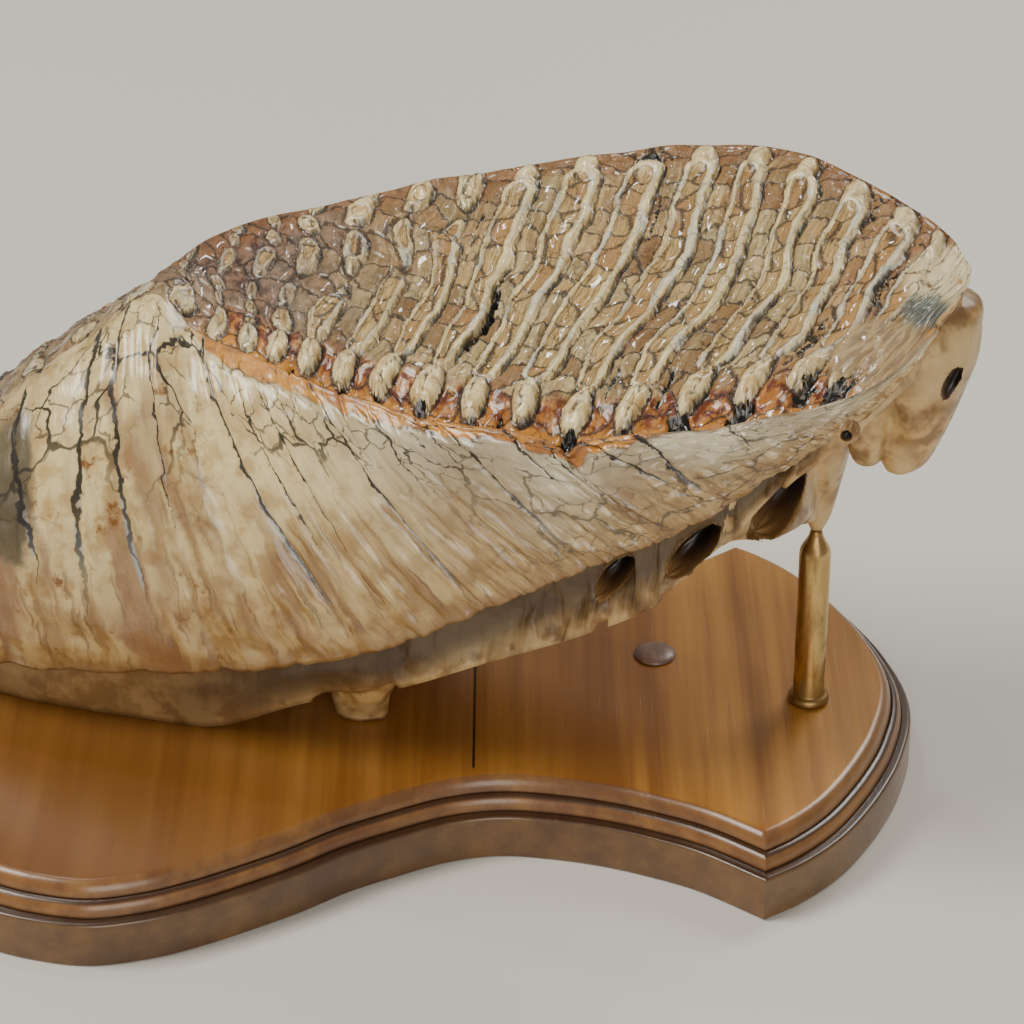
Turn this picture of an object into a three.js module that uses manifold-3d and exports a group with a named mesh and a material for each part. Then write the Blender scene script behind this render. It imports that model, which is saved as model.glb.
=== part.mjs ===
import * as THREE from "three";
import { mergeVertices } from "three/addons/utils/BufferGeometryUtils.js";
import Module from "manifold-3d";

// A fossil mammoth molar on its wooden stand, in millimetres, +Z up. The origin is the middle
// of the plaque's underside, X runs along the plaque and Y towards its back.

// Driving dimensions of the stand.
const PLAQUE_HALF_LENGTH = 204.5;
const PLAQUE_THICKNESS = 20;
const PLAQUE_SIDE_HEIGHT = 11.2;
const ROD_DIAMETER = 8;
const ROD_COLLAR_DIAMETER = 10.6;
const ROD_COLLAR_TOP_HEIGHT = 22.7;
const ROD_TIP_DIAMETER = 3.2;
const ROD_PLACE = [177, -9.5];
const ROD_SHOULDER_HEIGHT = 65;
const ROD_TOP_HEIGHT = 70.8;
const PLUG_DIAMETER = 11;
const PLUG_RISE = 1.6;
const PLUG_PLACE = [138.5, 12];
const GAP = 0.3;

// The tooth has axes of its own: along runs from its high, unworn rear to its worn front,
// across from its near side to its far side. They stand on the plaque's middle line, turned
// so that the front comes forward.
const TOOTH_PLACE = [110.3, -6];
const TOOTH_TURN = THREE.MathUtils.degToRad(-14);
const REAR_PLATE = -9;
const WORN_FROM_PLATE = 0;
const FRONT_PLATE = 17.6;
const REST_HEIGHT = PLAQUE_THICKNESS + GAP;
const CHEWING_HEIGHT = 135.4;
const CHEWING_RISE_FORWARD = 0.1316;
const CHEWING_RISE_ACROSS = 0.4073;
const PLATE_RELIEF = 1.4;
const TIP_RELIEF = 0.8;
const TIP_FALL_ACROSS = 0.016;
const PLATE_SWAY = 1.3;
const WALL_SWELL = 3.5;
const WALL_FULLNESS = 1.25;
const RIB_RELIEF = 1.2;
const LOBE_DROP = 1.2;
const FAR_FOOT_RISE = 4;
const CEILING_THICKNESS = 4;
const ROOT_STEP = 8;
const ROOT_WALL = 16;
const FLUTE_DEPTH = 5;

const wasm = await Module();
wasm.setup();

// A smooth curve through hand-picked [where, value] points. At each point its slope is that
// of the line between the two neighbours.
function through(...points) {
  const last = points.length - 1;
  const slopes = points.map((point, i) => {
    const before = points[Math.max(i - 1, 0)];
    const after = points[Math.min(i + 1, last)];
    return (after[1] - before[1]) / (after[0] - before[0]);
  });
  return (where) => {
    let i = 0;
    while (i < last - 1 && where > points[i + 1][0]) i += 1;
    const step = points[i + 1][0] - points[i][0];
    const t = (where - points[i][0]) / step;
    const rise = points[i + 1][1] - points[i][1];
    const bend = slopes[i] * step - rise;
    const unbend = rise - slopes[i + 1] * step;
    return points[i][1] + t * rise + t * (1 - t) * (bend * (1 - t) + unbend * t);
  };
}

const mix = (a, b, t) => a + (b - a) * t;
const smooth = (from, to, x) => THREE.MathUtils.smoothstep(x, from, to);
const fade = (from, to, x) => 1 - smooth(from, to, x);

// The tooth is a row of plates, numbered from the rear. Each curve gives one corner of the
// section that a plate makes through the tooth, by the plate's number.
const rimNearAlong = through(
  [-9, -204], [-7, -181], [-5, -154], [-3, -128], [-1, -101], [1, -79.5],
  [4, -52], [7, -20.5], [10, 17.5], [13, 56], [15, 75], [17.6, 97.5],
);
const rimNearAcross = through(
  [-9, -4], [-5, -13], [-2, -10], [-1, -5], [1, -15], [4, -27], [7, -37.5],
  [10, -43.5], [13, -38.5], [15, -33], [16.4, -25], [17.6, -8],
);
const rimFarAlong = through(
  [-9, -203], [-7, -182], [-5, -157], [-3, -131], [-1, -104], [1, -84],
  [4, -56], [7, -20.5], [10, 24], [13, 65], [15, 89], [17.6, 100],
);
const rimFarAcross = through(
  [-9, 4], [-5, 12], [-2, 11], [-1, 12], [1, 23], [4, 31], [7, 39.5],
  [10, 45.5], [12, 43], [13.5, 32], [15, 20], [17.6, 6],
);
const footAlong = through(
  [-9, -201], [-7, -173], [-5, -144], [-3, -112], [-1, -72], [1, -36],
  [4, -5], [7, 20], [10, 44], [13, 71], [15, 84.5], [17.6, 98],
);
const footNearAcross = through(
  [-9, -7], [-8, -19], [-7, -31], [-5, -42], [-3, -46], [4, -45], [10, -43.5],
  [13, -39], [15, -31], [16.4, -22], [17.6, -7],
);
const footFarAcross = through(
  [-9, 7], [-8, 19], [-7, 30], [-5, 40], [-3, 44], [4, 45], [10, 43],
  [13, 32], [15, 22], [17.6, 5],
);
const footHeight = through(
  [-9, 30], [-7, 33], [-3, 38], [-1, 44], [1, 54], [4, 71], [7, 86],
  [10, 100], [13, 121], [15, 130], [17.6, 145],
);
const rootHeight = through(
  [-9, 25], [-8, REST_HEIGHT], [-1.5, REST_HEIGHT], [0, 32], [1, 37], [4, 51],
  [7, 63], [9, 73], [10.5, 86], [12, 104], [13, 113], [15, 124], [17.6, 141],
);
// The worn top is a plane that rises forwards and across. Behind it the unworn plate tips
// fall away to the rear.
const tipHeight = through(
  [-206, 40], [-190, 53], [-160, 79], [-130, 104], [-103, 124], [-80, 138],
);

function topHeight(plate, along, across) {
  const worn = CHEWING_HEIGHT + CHEWING_RISE_FORWARD * along + CHEWING_RISE_ACROSS * across;
  const unworn = tipHeight(along) - TIP_FALL_ACROSS * across * across;
  return mix(unworn, worn, smooth(WORN_FROM_PLATE - 2, WORN_FROM_PLATE, plate));
}

// Each plate is a flattened loop of hard enamel, so it stands up as two crests with a
// slightly hollow core, and the cement between two plates lies lowest.
const wornCrests = through([0, -1], [0.3, 0.8], [0.5, 0.1], [0.7, 0.8], [1, -1]);
const phase = (plate) => plate - Math.floor(plate);
const ribShape = (plate) => Math.sqrt(Math.abs(Math.sin(Math.PI * plate))) * 1.6 - 1;

// The near front corner is rubbed down to a smooth round facet.
function facetShare(along, across) {
  return fade(0.75, 1.1, Math.hypot((along - 84) / 13, (across + 19) / 11));
}

function topRelief(plate, t) {
  const worn = smooth(WORN_FROM_PLATE - 1.5, WORN_FROM_PLATE + 1, plate);
  const shore = Math.min(1, 6 * t, 6 * (1 - t));
  const endBulb = 1 + 0.8 * fade(0.04, 0.16, t);
  const crests = PLATE_RELIEF * wornCrests(phase(plate)) * shore * endBulb;
  return mix(TIP_RELIEF * ribShape(plate), crests, worn);
}

// The plates don't run straight across the top. Between the rims they lie further forwards, by
// this share of a plate at the near side and by more from the middle on.
function slip(plate, t) {
  const forwards = 0.24 + 0.65 * smooth(0.08, 0.6, t) * smooth(2, 6, plate);
  const betweenRims = Math.min(1, t / 0.06, (1 - t) / 0.05);
  return forwards * betweenRims * smooth(-1, 1, plate) * fade(14, FRONT_PLATE, plate);
}

// They also sway a little from side to side on their way.
const sway = (plate, t) =>
  PLATE_SWAY * Math.sin(7 * t + 0.9 * plate) * Math.sin(Math.PI * t);

const TOP_STEPS = [0, 0.06, 0.16, 0.3, 0.44, 0.58, 0.72, 0.86, 0.95, 1];
const NEAR_WALL_STEPS = 7;
const FAR_WALL_STEPS = 6;

// A point on the side wall, from the rim at t 0 to the foot at t 1. The wall swells between
// them, and the plates' edges show on it as ribs that grow stronger downwards.
function wallPoint(plate, rim, foot, side, t) {
  const angle = (t * Math.PI) / 2;
  const out = Math.sin(angle) ** WALL_FULLNESS;
  const up = Math.cos(angle) ** WALL_FULLNESS;
  const swell = WALL_SWELL * Math.sin(Math.PI * t) * fade(12, 17, plate);
  const rib = RIB_RELIEF * ribShape(plate) * mix(0.1, 1, t) * fade(8, 15, plate);
  return new THREE.Vector3(
    mix(rim.x, foot.x, 1 - up),
    mix(rim.y, foot.y, out) + side * (swell + rib * Math.min(1, 4 * t)),
    mix(foot.z, rim.z, up),
  );
}

// The closed outline of one section: over the top from the near rim to the far rim, down the
// far wall, in under the crown to the root, across the root's hollow underside and back up.
// A flute runs along the near side of the root, above its lip.
function section(plate) {
  const lobe = LOBE_DROP * ribShape(plate) * fade(12, 16, plate);
  const foot = footAlong(plate);
  const bottom = footHeight(plate) - lobe;
  const footNear = new THREE.Vector3(foot, footNearAcross(plate), bottom);
  const footFar = new THREE.Vector3(foot, footFarAcross(plate), bottom + FAR_FOOT_RISE);
  const points = TOP_STEPS.map((t) => {
    const here = plate + slip(plate, t);
    const along = mix(rimNearAlong(here), rimFarAlong(here), t) + sway(here, t);
    const across = mix(rimNearAcross(here), rimFarAcross(here), t);
    const relief = topRelief(plate, t) * (1 - facetShare(along, across));
    return new THREE.Vector3(along, across, topHeight(here, along, across) + relief);
  });
  const rimNear = points[0];
  const rimFar = points[points.length - 1];
  for (let i = 1; i <= FAR_WALL_STEPS; i += 1)
    points.push(wallPoint(plate, rimFar, footFar, 1, i / FAR_WALL_STEPS));

  const under = Math.min(ROOT_STEP, 0.35 * (footFar.y - footNear.y));
  const rest = Math.max(REST_HEIGHT, rootHeight(plate));
  const ceiling = Math.max(rest, footHeight(plate) - CEILING_THICKNESS);
  const hollow = mix(rest, ceiling, smooth(-1.2, 0.5, plate));
  const near = footNear.y + under;
  const far = footFar.y - under;
  const wall = Math.min(ROOT_WALL, 0.2 * (far - near));
  const flute = FLUTE_DEPTH * smooth(1.5, 5, plate) * fade(11.5, 13.5, plate);
  const tall = footNear.z + 1 - rest;
  const underside = [
    [far, footFar.z + 1],
    [far - 1.5, rest],
    [far - wall, rest],
    [far - 1.7 * wall, hollow],
    [near + 1.7 * wall, hollow],
    [near + wall, rest],
    [near + 1, rest],
    [near + 0.4 + 0.5 * flute, rest + 0.18 * tall],
    [near + flute, rest + 0.45 * tall],
    [near, footNear.z + 1],
  ];
  for (const [across, height] of underside) points.push(new THREE.Vector3(foot, across, height));
  for (let i = NEAR_WALL_STEPS; i >= 1; i -= 1)
    points.push(wallPoint(plate, rimNear, footNear, -1, i / NEAR_WALL_STEPS));
  return points.reverse();
}

// Joins rings of the same number of points into one closed body. Each end is closed by a fan
// to its middle.
function loft(rings) {
  const around = rings[0].length;
  const points = rings.flat();
  const faces = [];
  for (let r = 0; r + 1 < rings.length; r += 1)
    for (let i = 0; i < around; i += 1) {
      const a = r * around + i;
      const b = r * around + ((i + 1) % around);
      faces.push(a, b, a + around, b, b + around, a + around);
    }
  for (const end of [0, rings.length - 1]) {
    const middle = new THREE.Vector3();
    for (const point of rings[end]) middle.addScaledVector(point, 1 / around);
    points.push(middle);
    for (let i = 0; i < around; i += 1) {
      const a = end * around + i;
      const b = end * around + ((i + 1) % around);
      if (end === 0) faces.push(b, a, points.length - 1);
      else faces.push(a, b, points.length - 1);
    }
  }
  const geometry = new THREE.BufferGeometry().setFromPoints(points);
  geometry.setIndex(faces);
  return geometry;
}

// The plates' stations: each plate has a valley, two crests and its core in the worn part,
// and a groove with a round rib in the unworn part.
function plateStations() {
  const stations = [];
  for (let plate = REAR_PLATE; plate < Math.ceil(FRONT_PLATE); plate += 1) {
    const parts = plate < WORN_FROM_PLATE ? [0, 0.33, 0.67] : [0, 0.3, 0.5, 0.7];
    for (const part of parts) stations.push(plate + part);
  }
  return stations.filter((plate) => plate <= FRONT_PLATE);
}

// A tapering root: rings across the height, each [along, across, height, half length, half
// width].
function root(sides, ...rings) {
  return loft(
    rings.map(([along, across, height, halfLength, halfWidth]) =>
      Array.from({ length: sides }, (_, i) => {
        const angle = (2 * Math.PI * i) / sides;
        return new THREE.Vector3(
          along + halfLength * Math.cos(angle),
          across + halfWidth * Math.sin(angle),
          height,
        );
      }),
    ),
  );
}

// A slanting hollow: an egg shape at [along, across, height], leaning forwards.
function hollow(along, across, height, halfLength, depth, halfHeight, lean) {
  return new THREE.SphereGeometry(1, 14, 8)
    .scale(halfLength, depth, halfHeight)
    .rotateY(THREE.MathUtils.degToRad(lean))
    .translate(along, across, height);
}

function solid(geometry) {
  const bare = geometry.clone();
  bare.deleteAttribute("normal");
  bare.deleteAttribute("uv");
  const merged = mergeVertices(bare, 1e-4);
  return new wasm.Manifold(
    new wasm.Mesh({
      numProp: 3,
      vertProperties: new Float32Array(merged.attributes.position.array),
      triVerts: new Uint32Array(merged.index.array),
    }),
  );
}

function geometryOf(manifold) {
  const mesh = manifold.getMesh();
  const geometry = new THREE.BufferGeometry();
  geometry.setAttribute("position", new THREE.BufferAttribute(mesh.vertProperties, 3));
  geometry.setIndex(new THREE.BufferAttribute(mesh.triVerts, 1));
  return geometry;
}

// The tooth: the crown with its root shelf, the free roots under its front, and the hollows
// that open into the pulp cavity.
function molarGeometry() {
  const frontRoot = root(
    14,
    [86, 6, 95, 3, 4],
    [87.5, 6, 101, 7, 9],
    [89.5, 7, 113, 10, 14],
    [91.5, 7, 127, 12.5, 17],
    [91.5, 6, 135, 12.8, 16],
    [91.5, 5, 141, 12.5, 11],
    [90, 5, 144, 9, 6],
  );
  const rodRoot = root(
    12,
    [65.6, 12.7, ROD_TOP_HEIGHT + GAP, 1.6, 1.6],
    [65.8, 12.2, 76, 3.4, 3.6],
    [66.4, 10, 86, 5, 6],
    [67, 6, 98, 7, 9],
    [67.5, 2, 110, 9, 13],
    [67.5, 0, 124, 11, 16],
  );
  const hangingLobe = root(
    14,
    [64, 10, 76, 2.5, 3],
    [60.5, 5, 81, 6, 10],
    [55, -5, 88, 12, 22],
    [52, -5, 97, 14, 25],
    [50, -4, 114, 17, 28],
  );
  const middleRoot = root(10, [79, 0, 99, 3, 4], [79, 0, 106, 5.5, 8], [79, 0, 128, 7, 14]);
  const shortRoot = root(
    10,
    [-44, -20, REST_HEIGHT, 7, 5],
    [-43, -24, 28, 7.5, 6],
    [-40, -30, 40, 10, 7],
    [-37, -33, 54, 13, 8],
    [-36, -33, 60, 13, 8],
  );
  let tooth = solid(loft(plateStations().map(section)));
  const roots = [frontRoot, rodRoot, hangingLobe, middleRoot, shortRoot];
  for (const part of roots) tooth = tooth.add(solid(part));
  const hollows = [
    hollow(24, -33, 77, 2.9, 11, 7.5, 36),
    hollow(43, -32, 86.5, 3.1, 11, 9.5, 40),
    hollow(61.5, -20, 97, 5.6, 15, 11.5, 32),
    hollow(99, -9, 125, 2.6, 7, 6, 16),
  ];
  for (const part of hollows) tooth = tooth.subtract(solid(part));
  return geometryOf(tooth);
}

// The plaque's outline, a quarter at a time: from the round end to the corner, along the
// hollowed waist, and out to the bulge in the middle of the long side.
const QUARTER_OUTLINE = [
  [204.5, 0], [203.8, 9], [201.7, 18.5], [197.9, 30.5], [191.2, 45], [182.6, 59],
  [172.5, 69.8], [162.3, 77.2], [147.3, 65.7], [135, 59.4], [123, 54.8], [110.5, 51.8],
  [98, 50.5], [85.6, 53.1], [73.3, 59], [61.2, 65.7], [49.4, 74.3], [37.6, 81.6],
  [26, 88], [14.4, 92.8], [0, 95.5],
];

function plaqueOutline() {
  const scale = PLAQUE_HALF_LENGTH / QUARTER_OUTLINE[0][0];
  const quarter = QUARTER_OUTLINE.map(([x, y]) => new THREE.Vector2(x * scale, y));
  const turned = quarter.slice(0, -1).reverse();
  const upper = quarter.concat(turned.map(({ x, y }) => new THREE.Vector2(-x, y)));
  const lower = upper.slice(1, -1).reverse();
  return upper.concat(lower.map(({ x, y }) => new THREE.Vector2(x, -y)));
}

// The outline moved inwards by an even distance, with its corners kept sharp.
function inset(outline, distance) {
  const count = outline.length;
  return outline.map((point, i) => {
    const before = outline[(i + count - 1) % count];
    const after = outline[(i + 1) % count];
    const comingIn = point.clone().sub(before).normalize();
    const goingOut = after.clone().sub(point).normalize();
    const inwards = new THREE.Vector2(-comingIn.y - goingOut.y, comingIn.x + goingOut.x);
    inwards.normalize();
    const spread = inwards.dot(new THREE.Vector2(-comingIn.y, comingIn.x));
    return point.clone().addScaledVector(inwards, distance / spread);
  });
}

// The moulding round the edge: [distance in from the side, height] up a plain side, over a
// low step and two round beads with a groove before each.
const MOULDING = [
  [0, 0],
  [0, PLAQUE_SIDE_HEIGHT],
  [0.8, 12.1],
  [2.4, 12.3],
  [3, 14.6],
  [4.8, 16],
  [5.2, 15.6],
  [5.7, 18],
  [8.5, PLAQUE_THICKNESS],
];

function plaqueGeometry() {
  const outline = plaqueOutline();
  return loft(
    MOULDING.map(([distance, height]) =>
      inset(outline, distance).map(({ x, y }) => new THREE.Vector3(x, y, height)),
    ),
  );
}

// The rod stands in a small collar on the plaque. It narrows at its top to a blunt point, on
// which the tooth's front root stands.
function rodGeometry() {
  const profile = [
    [0, PLAQUE_THICKNESS + GAP],
    [ROD_COLLAR_DIAMETER / 2, PLAQUE_THICKNESS + GAP],
    [ROD_COLLAR_DIAMETER / 2, ROD_COLLAR_TOP_HEIGHT - 0.5],
    [ROD_DIAMETER / 2, ROD_COLLAR_TOP_HEIGHT],
    [ROD_DIAMETER / 2, ROD_SHOULDER_HEIGHT],
    [ROD_TIP_DIAMETER / 2, ROD_TOP_HEIGHT],
    [0, ROD_TOP_HEIGHT],
  ].map(([radius, height]) => new THREE.Vector2(radius, height));
  return new THREE.LatheGeometry(profile, 24).rotateX(Math.PI / 2);
}

// The plug is a low dome that fills a drilled hole in the plaque.
function plugGeometry() {
  const steps = 4;
  const profile = [new THREE.Vector2(0, 0)];
  for (let i = 0; i <= steps; i += 1) {
    const angle = (i / steps) * (Math.PI / 2);
    const radius = i === steps ? 0 : (PLUG_DIAMETER / 2) * Math.cos(angle);
    profile.push(new THREE.Vector2(radius, PLUG_RISE * Math.sin(angle)));
  }
  return new THREE.LatheGeometry(profile, 20).rotateX(Math.PI / 2);
}

function piece(name, geometry, color, roughness, metalness) {
  const material = new THREE.MeshStandardMaterial({ color, roughness, metalness });
  const mesh = new THREE.Mesh(geometry, material);
  mesh.name = name;
  return mesh;
}

const molar = piece("molar", molarGeometry(), 0xcbb894, 0.3, 0);
molar.position.set(TOOTH_PLACE[0], TOOTH_PLACE[1], 0);
molar.rotation.z = TOOTH_TURN;

const plaque = piece("plaque", plaqueGeometry(), 0x9a6a35, 0.35, 0);

const brassRod = piece("brass_rod", rodGeometry(), 0xb0893a, 0.3, 1);
brassRod.position.set(ROD_PLACE[0], ROD_PLACE[1], 0);

const plug = piece("plug", plugGeometry(), 0x7d6252, 0.5, 0);
plug.position.set(PLUG_PLACE[0], PLUG_PLACE[1], PLAQUE_THICKNESS + GAP);

const part = new THREE.Group();
part.add(plaque, plug, brassRod, molar);

export default part;
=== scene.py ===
import math
from functools import partial

import bpy
import bmesh
import numpy as np
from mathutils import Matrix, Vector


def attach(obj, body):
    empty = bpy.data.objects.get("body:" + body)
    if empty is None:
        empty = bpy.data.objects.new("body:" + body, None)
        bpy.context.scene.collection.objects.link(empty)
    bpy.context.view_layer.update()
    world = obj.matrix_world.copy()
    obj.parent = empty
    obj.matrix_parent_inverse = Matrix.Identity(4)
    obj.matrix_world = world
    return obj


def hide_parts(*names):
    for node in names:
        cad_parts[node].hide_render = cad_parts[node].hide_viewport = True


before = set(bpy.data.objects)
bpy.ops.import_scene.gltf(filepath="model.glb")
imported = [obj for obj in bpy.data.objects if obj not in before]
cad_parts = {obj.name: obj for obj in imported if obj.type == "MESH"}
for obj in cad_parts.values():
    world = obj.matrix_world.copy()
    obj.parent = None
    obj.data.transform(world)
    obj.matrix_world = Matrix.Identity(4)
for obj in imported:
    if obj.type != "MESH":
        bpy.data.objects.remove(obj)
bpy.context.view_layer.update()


# The plaque: one hardwood board, 20 mm thick, cut to a waisted outline with four horns.
# A moulding is worked round its top edge, and the whole is stained and varnished. The board
# is glued up from two, which shows as a thin joint line across its top.
PLAQUE_HALF_LENGTH = 0.2045
PLAQUE_THICKNESS = 0.020
ROUND_END = [
    (204.5, 0), (203.8, 9), (201.7, 18.5), (197.9, 30.5), (191.2, 45), (182.6, 59),
    (172.5, 69.8), (162.3, 77.2),
]
WAIST_AND_BULGE = [
    (162.3, 77.2), (147.3, 65.7), (135, 59.4), (123, 54.8), (110.5, 51.8), (98, 50.5),
    (85.6, 53.1), (73.3, 59), (61.2, 65.7), (49.4, 74.3), (37.6, 81.6), (26, 88),
    (14.4, 92.8), (0, 95.5),
]
END_STEPS, WAIST_STEPS = 8, 6


def paint(code):
    """A colour written as in a paint chart, turned into the renderer's linear light:
    each channel over 255, then its usual curve undone."""
    channels = np.array([(code >> shift) & 255 for shift in (16, 8, 0)]) / 255
    low, high = channels / 12.92, ((channels + 0.055) / 1.055) ** 2.4
    return (*np.where(channels < 0.04045, low, high), 1.0)


def make_mesh(name, points, faces, smooth=True):
    """A new object whose place is in its mesh."""
    mesh = bpy.data.meshes.new(name)
    mesh.from_pydata(points, [], faces)
    mesh.polygons.foreach_set("use_smooth", np.full(len(mesh.polygons), smooth))
    mesh.update()
    piece = bpy.data.objects.new(name, mesh)
    bpy.context.scene.collection.objects.link(piece)
    return piece


def strip_faces(rings, around):
    """Quads between neighbouring rings of the same number of points, closed round each."""
    a = np.arange(rings - 1)[:, None] * around + np.arange(around)[None, :]
    b = np.arange(rings - 1)[:, None] * around + (np.arange(around)[None, :] + 1) % around
    return np.stack([a, b, b + around, a + around], -1).reshape(-1, 4)


def curve_through(points, count):
    """A smooth curve through the points: each stretch is a cubic whose end slopes are half the
    line between the two neighbours. The ends take mirrored neighbours."""
    p = np.array(points, float)
    ends = [2 * p[0] - p[1], 2 * p[-1] - p[-2]]
    p = np.vstack([ends[0], p, ends[1]])
    where = np.linspace(0, len(points) - 1, count)
    i = np.minimum(where.astype(int), len(points) - 2)
    t = (where - i)[:, None]
    a, b, c, d = p[i], p[i + 1], p[i + 2], p[i + 3]
    return 0.5 * (
        2 * b + (c - a) * t + (2 * a - 5 * b + 4 * c - d) * t**2
        + (3 * b - a - 3 * c + d) * t**3
    )


def plaque_outline():
    """The round end and the waist as smooth curves that meet in a sharp horn, mirrored twice.
    The mirrored neighbours at the two ends make the curves square to the board's middle lines."""
    end = curve_through([(203.8, -9), *ROUND_END], len(ROUND_END) * END_STEPS + 1)[END_STEPS:]
    waist = curve_through([*WAIST_AND_BULGE, (-14.4, 92.8)], len(WAIST_AND_BULGE) * WAIST_STEPS + 1)
    waist = waist[waist[:, 0] > -0.01]
    waist[-1] = (0, 95.5)
    quarter = np.vstack([end, waist[1:]])
    quarter[0] = (PLAQUE_HALF_LENGTH * 1000, 0)
    upper = np.vstack([quarter, quarter[-2::-1] * (-1, 1)])
    return np.vstack([upper, upper[-2:0:-1] * (1, -1)]) / 1000


# A corner is a horn where the cosine of its turn is under HORN_COSINE. Of the HORN_REACH points
# on each side of it, those that cross its mitre line, or come within HORN_CLEARANCE metres of
# it, are gathered.
HORN_COSINE, HORN_REACH, HORN_CLEARANCE = 0.8, 25, 2e-5


def inset(outline, distance):
    """The outline moved inwards by an even distance, along the line that halves each corner.
    Points that would cross a horn's mitre line are gathered at its end."""
    before, after = np.roll(outline, 1, 0), np.roll(outline, -1, 0)
    coming = (outline - before) / np.linalg.norm(outline - before, axis=1)[:, None]
    going = (after - outline) / np.linalg.norm(after - outline, axis=1)[:, None]
    inwards = np.stack([-coming[:, 1] - going[:, 1], coming[:, 0] + going[:, 0]], 1)
    inwards /= np.linalg.norm(inwards, axis=1)[:, None]
    spread = np.sum(inwards * np.stack([-coming[:, 1], coming[:, 0]], 1), 1)
    moved = outline + inwards * (distance / spread)[:, None]
    horns = np.flatnonzero(np.sum(coming * going, 1) < HORN_COSINE)
    for horn in horns:
        tip, mitre, end = outline[horn], inwards[horn], moved[horn].copy()
        for way in (1, -1):
            beside = (horn + way * np.arange(1, HORN_REACH + 1)) % len(outline)
            side = np.cross(mitre, outline[beside[0]] - tip)
            crossed = np.cross(mitre, moved[beside] - tip) * np.sign(side) < HORN_CLEARANCE
            moved[beside[crossed]] = end
    return moved


def moulding_profile():
    """(distance in, height) in metres: a plain side with its edges eased, a low step, and two
    round beads, each a quarter of an ellipse, with a groove before each."""
    turn = np.linspace(0, math.pi / 2, 9)
    eased_foot = np.stack([0.7 - 0.7 * np.sin(turn), 0.7 - 0.7 * np.cos(turn)], 1)
    eased_top = np.stack([1.0 - 1.0 * np.cos(turn), 11.1 + 1.0 * np.sin(turn)], 1)
    step = [(2.3, 12.2), (2.55, 12.0)]
    first = np.stack([4.9 - 2.3 * np.cos(turn), 12.4 + 3.6 * np.sin(turn)], 1)
    groove = [(5.15, 15.8), (5.35, 15.6)]
    second = np.stack([8.6 - 3.2 * np.cos(turn), 15.8 + 4.2 * np.sin(turn)], 1)
    return np.vstack([eased_foot, eased_top, step, first, groove, second]) / 1000


outline = plaque_outline()
profile = moulding_profile()
around = len(outline)
rings = np.stack([
    np.column_stack([inset(outline, d), np.full(around, z)]) for d, z in profile
])
plaque_faces = strip_faces(len(profile), around).tolist()
plaque_faces.append(list(range(around))[::-1])
plaque_faces.append([(len(profile) - 1) * around + i for i in range(around)])
plaque = make_mesh("plaque_board", rings.reshape(-1, 3), plaque_faces)


def tidy_mesh(piece, apart=2e-6):
    """Joins points that lie on each other and drops the faces that this leaves without area. If
    an edge then lacks one of its two faces, a smaller distance is tried instead."""
    shares = (1, 0.6, 0.3, 0.1, 0.02)
    for share in shares:
        work = bmesh.new()
        work.from_mesh(piece.data)
        bmesh.ops.remove_doubles(work, verts=work.verts, dist=apart * share)
        bmesh.ops.dissolve_degenerate(work, edges=work.edges, dist=apart * share / 4)
        closed = all(edge.is_manifold for edge in work.edges)
        if closed or share == shares[-1]:
            work.to_mesh(piece.data)
        work.free()
        if closed:
            break


tidy_mesh(plaque)

JOINT_LINE_X = 0.0915
JOINT_LINE_WIDTH = 0.0006
JOINT_LINE_DEPTH = 0.0008
JOINT_LINE_END = 0.0405
GROOVE_HEIGHTS = (0.0122, 0.0158)


def cut_joint_line(piece):
    """A thin groove: a long wedge taken out of the board's top, from the moulding on the near
    side to the moulding on the far side."""
    w, top, deep = JOINT_LINE_WIDTH / 2, PLAQUE_THICKNESS + 0.001, PLAQUE_THICKNESS - JOINT_LINE_DEPTH
    x, ends = JOINT_LINE_X, (-JOINT_LINE_END, JOINT_LINE_END)
    points = [
        (x + side * w * k, y, z)
        for y in ends
        for side, k, z in ((-1, 0.5, deep), (1, 0.5, deep), (1, 1, top), (-1, 1, top))
    ]
    faces = [(0, 1, 2, 3), (7, 6, 5, 4), (0, 4, 5, 1), (1, 5, 6, 2), (2, 6, 7, 3), (3, 7, 4, 0)]
    cutter = make_mesh("joint_cutter", points, faces, smooth=False)
    cut = piece.modifiers.new("joint line", "BOOLEAN")
    cut.operation, cut.solver, cut.object = "DIFFERENCE", "EXACT", cutter
    apply_modifiers(piece)
    bpy.data.objects.remove(cutter)


def apply_modifiers(piece):
    """Puts what the modifiers make into the mesh itself."""
    bpy.context.view_layer.update()
    seen = piece.evaluated_get(bpy.context.evaluated_depsgraph_get())
    mesh = bpy.data.meshes.new_from_object(seen)
    piece.modifiers.clear()
    piece.data = mesh


cut_joint_line(plaque)


def sharpen_edges(piece, degrees):
    """Smooth shading, except over edges that turn by more than the angle."""
    piece.data.polygons.foreach_set("use_smooth", np.ones(len(piece.data.polygons), bool))
    piece.data.set_sharp_from_angle(angle=math.radians(degrees))


sharpen_edges(plaque, 32)


def feed(node, inputs):
    """Gives each of the node's inputs a value, or joins it to another node's output."""
    for socket, value in inputs.items():
        if isinstance(value, bpy.types.NodeSocket):
            node.id_data.links.new(value, node.inputs[socket])
        else:
            node.inputs[socket].default_value = value


def node_for(kind, inputs, **settings):
    """One shader node, in the tree that its joined inputs come from."""
    joined = [value for value in inputs.values() if isinstance(value, bpy.types.NodeSocket)]
    node = joined[0].id_data.nodes.new(kind)
    for key, value in settings.items():
        setattr(node, key, value)
    feed(node, inputs)
    return node


def maths(operation, *values, clamp=False):
    """A Math node's output."""
    inputs = dict(enumerate(values))
    return node_for("ShaderNodeMath", inputs, operation=operation, use_clamp=clamp).outputs[0]


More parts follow.
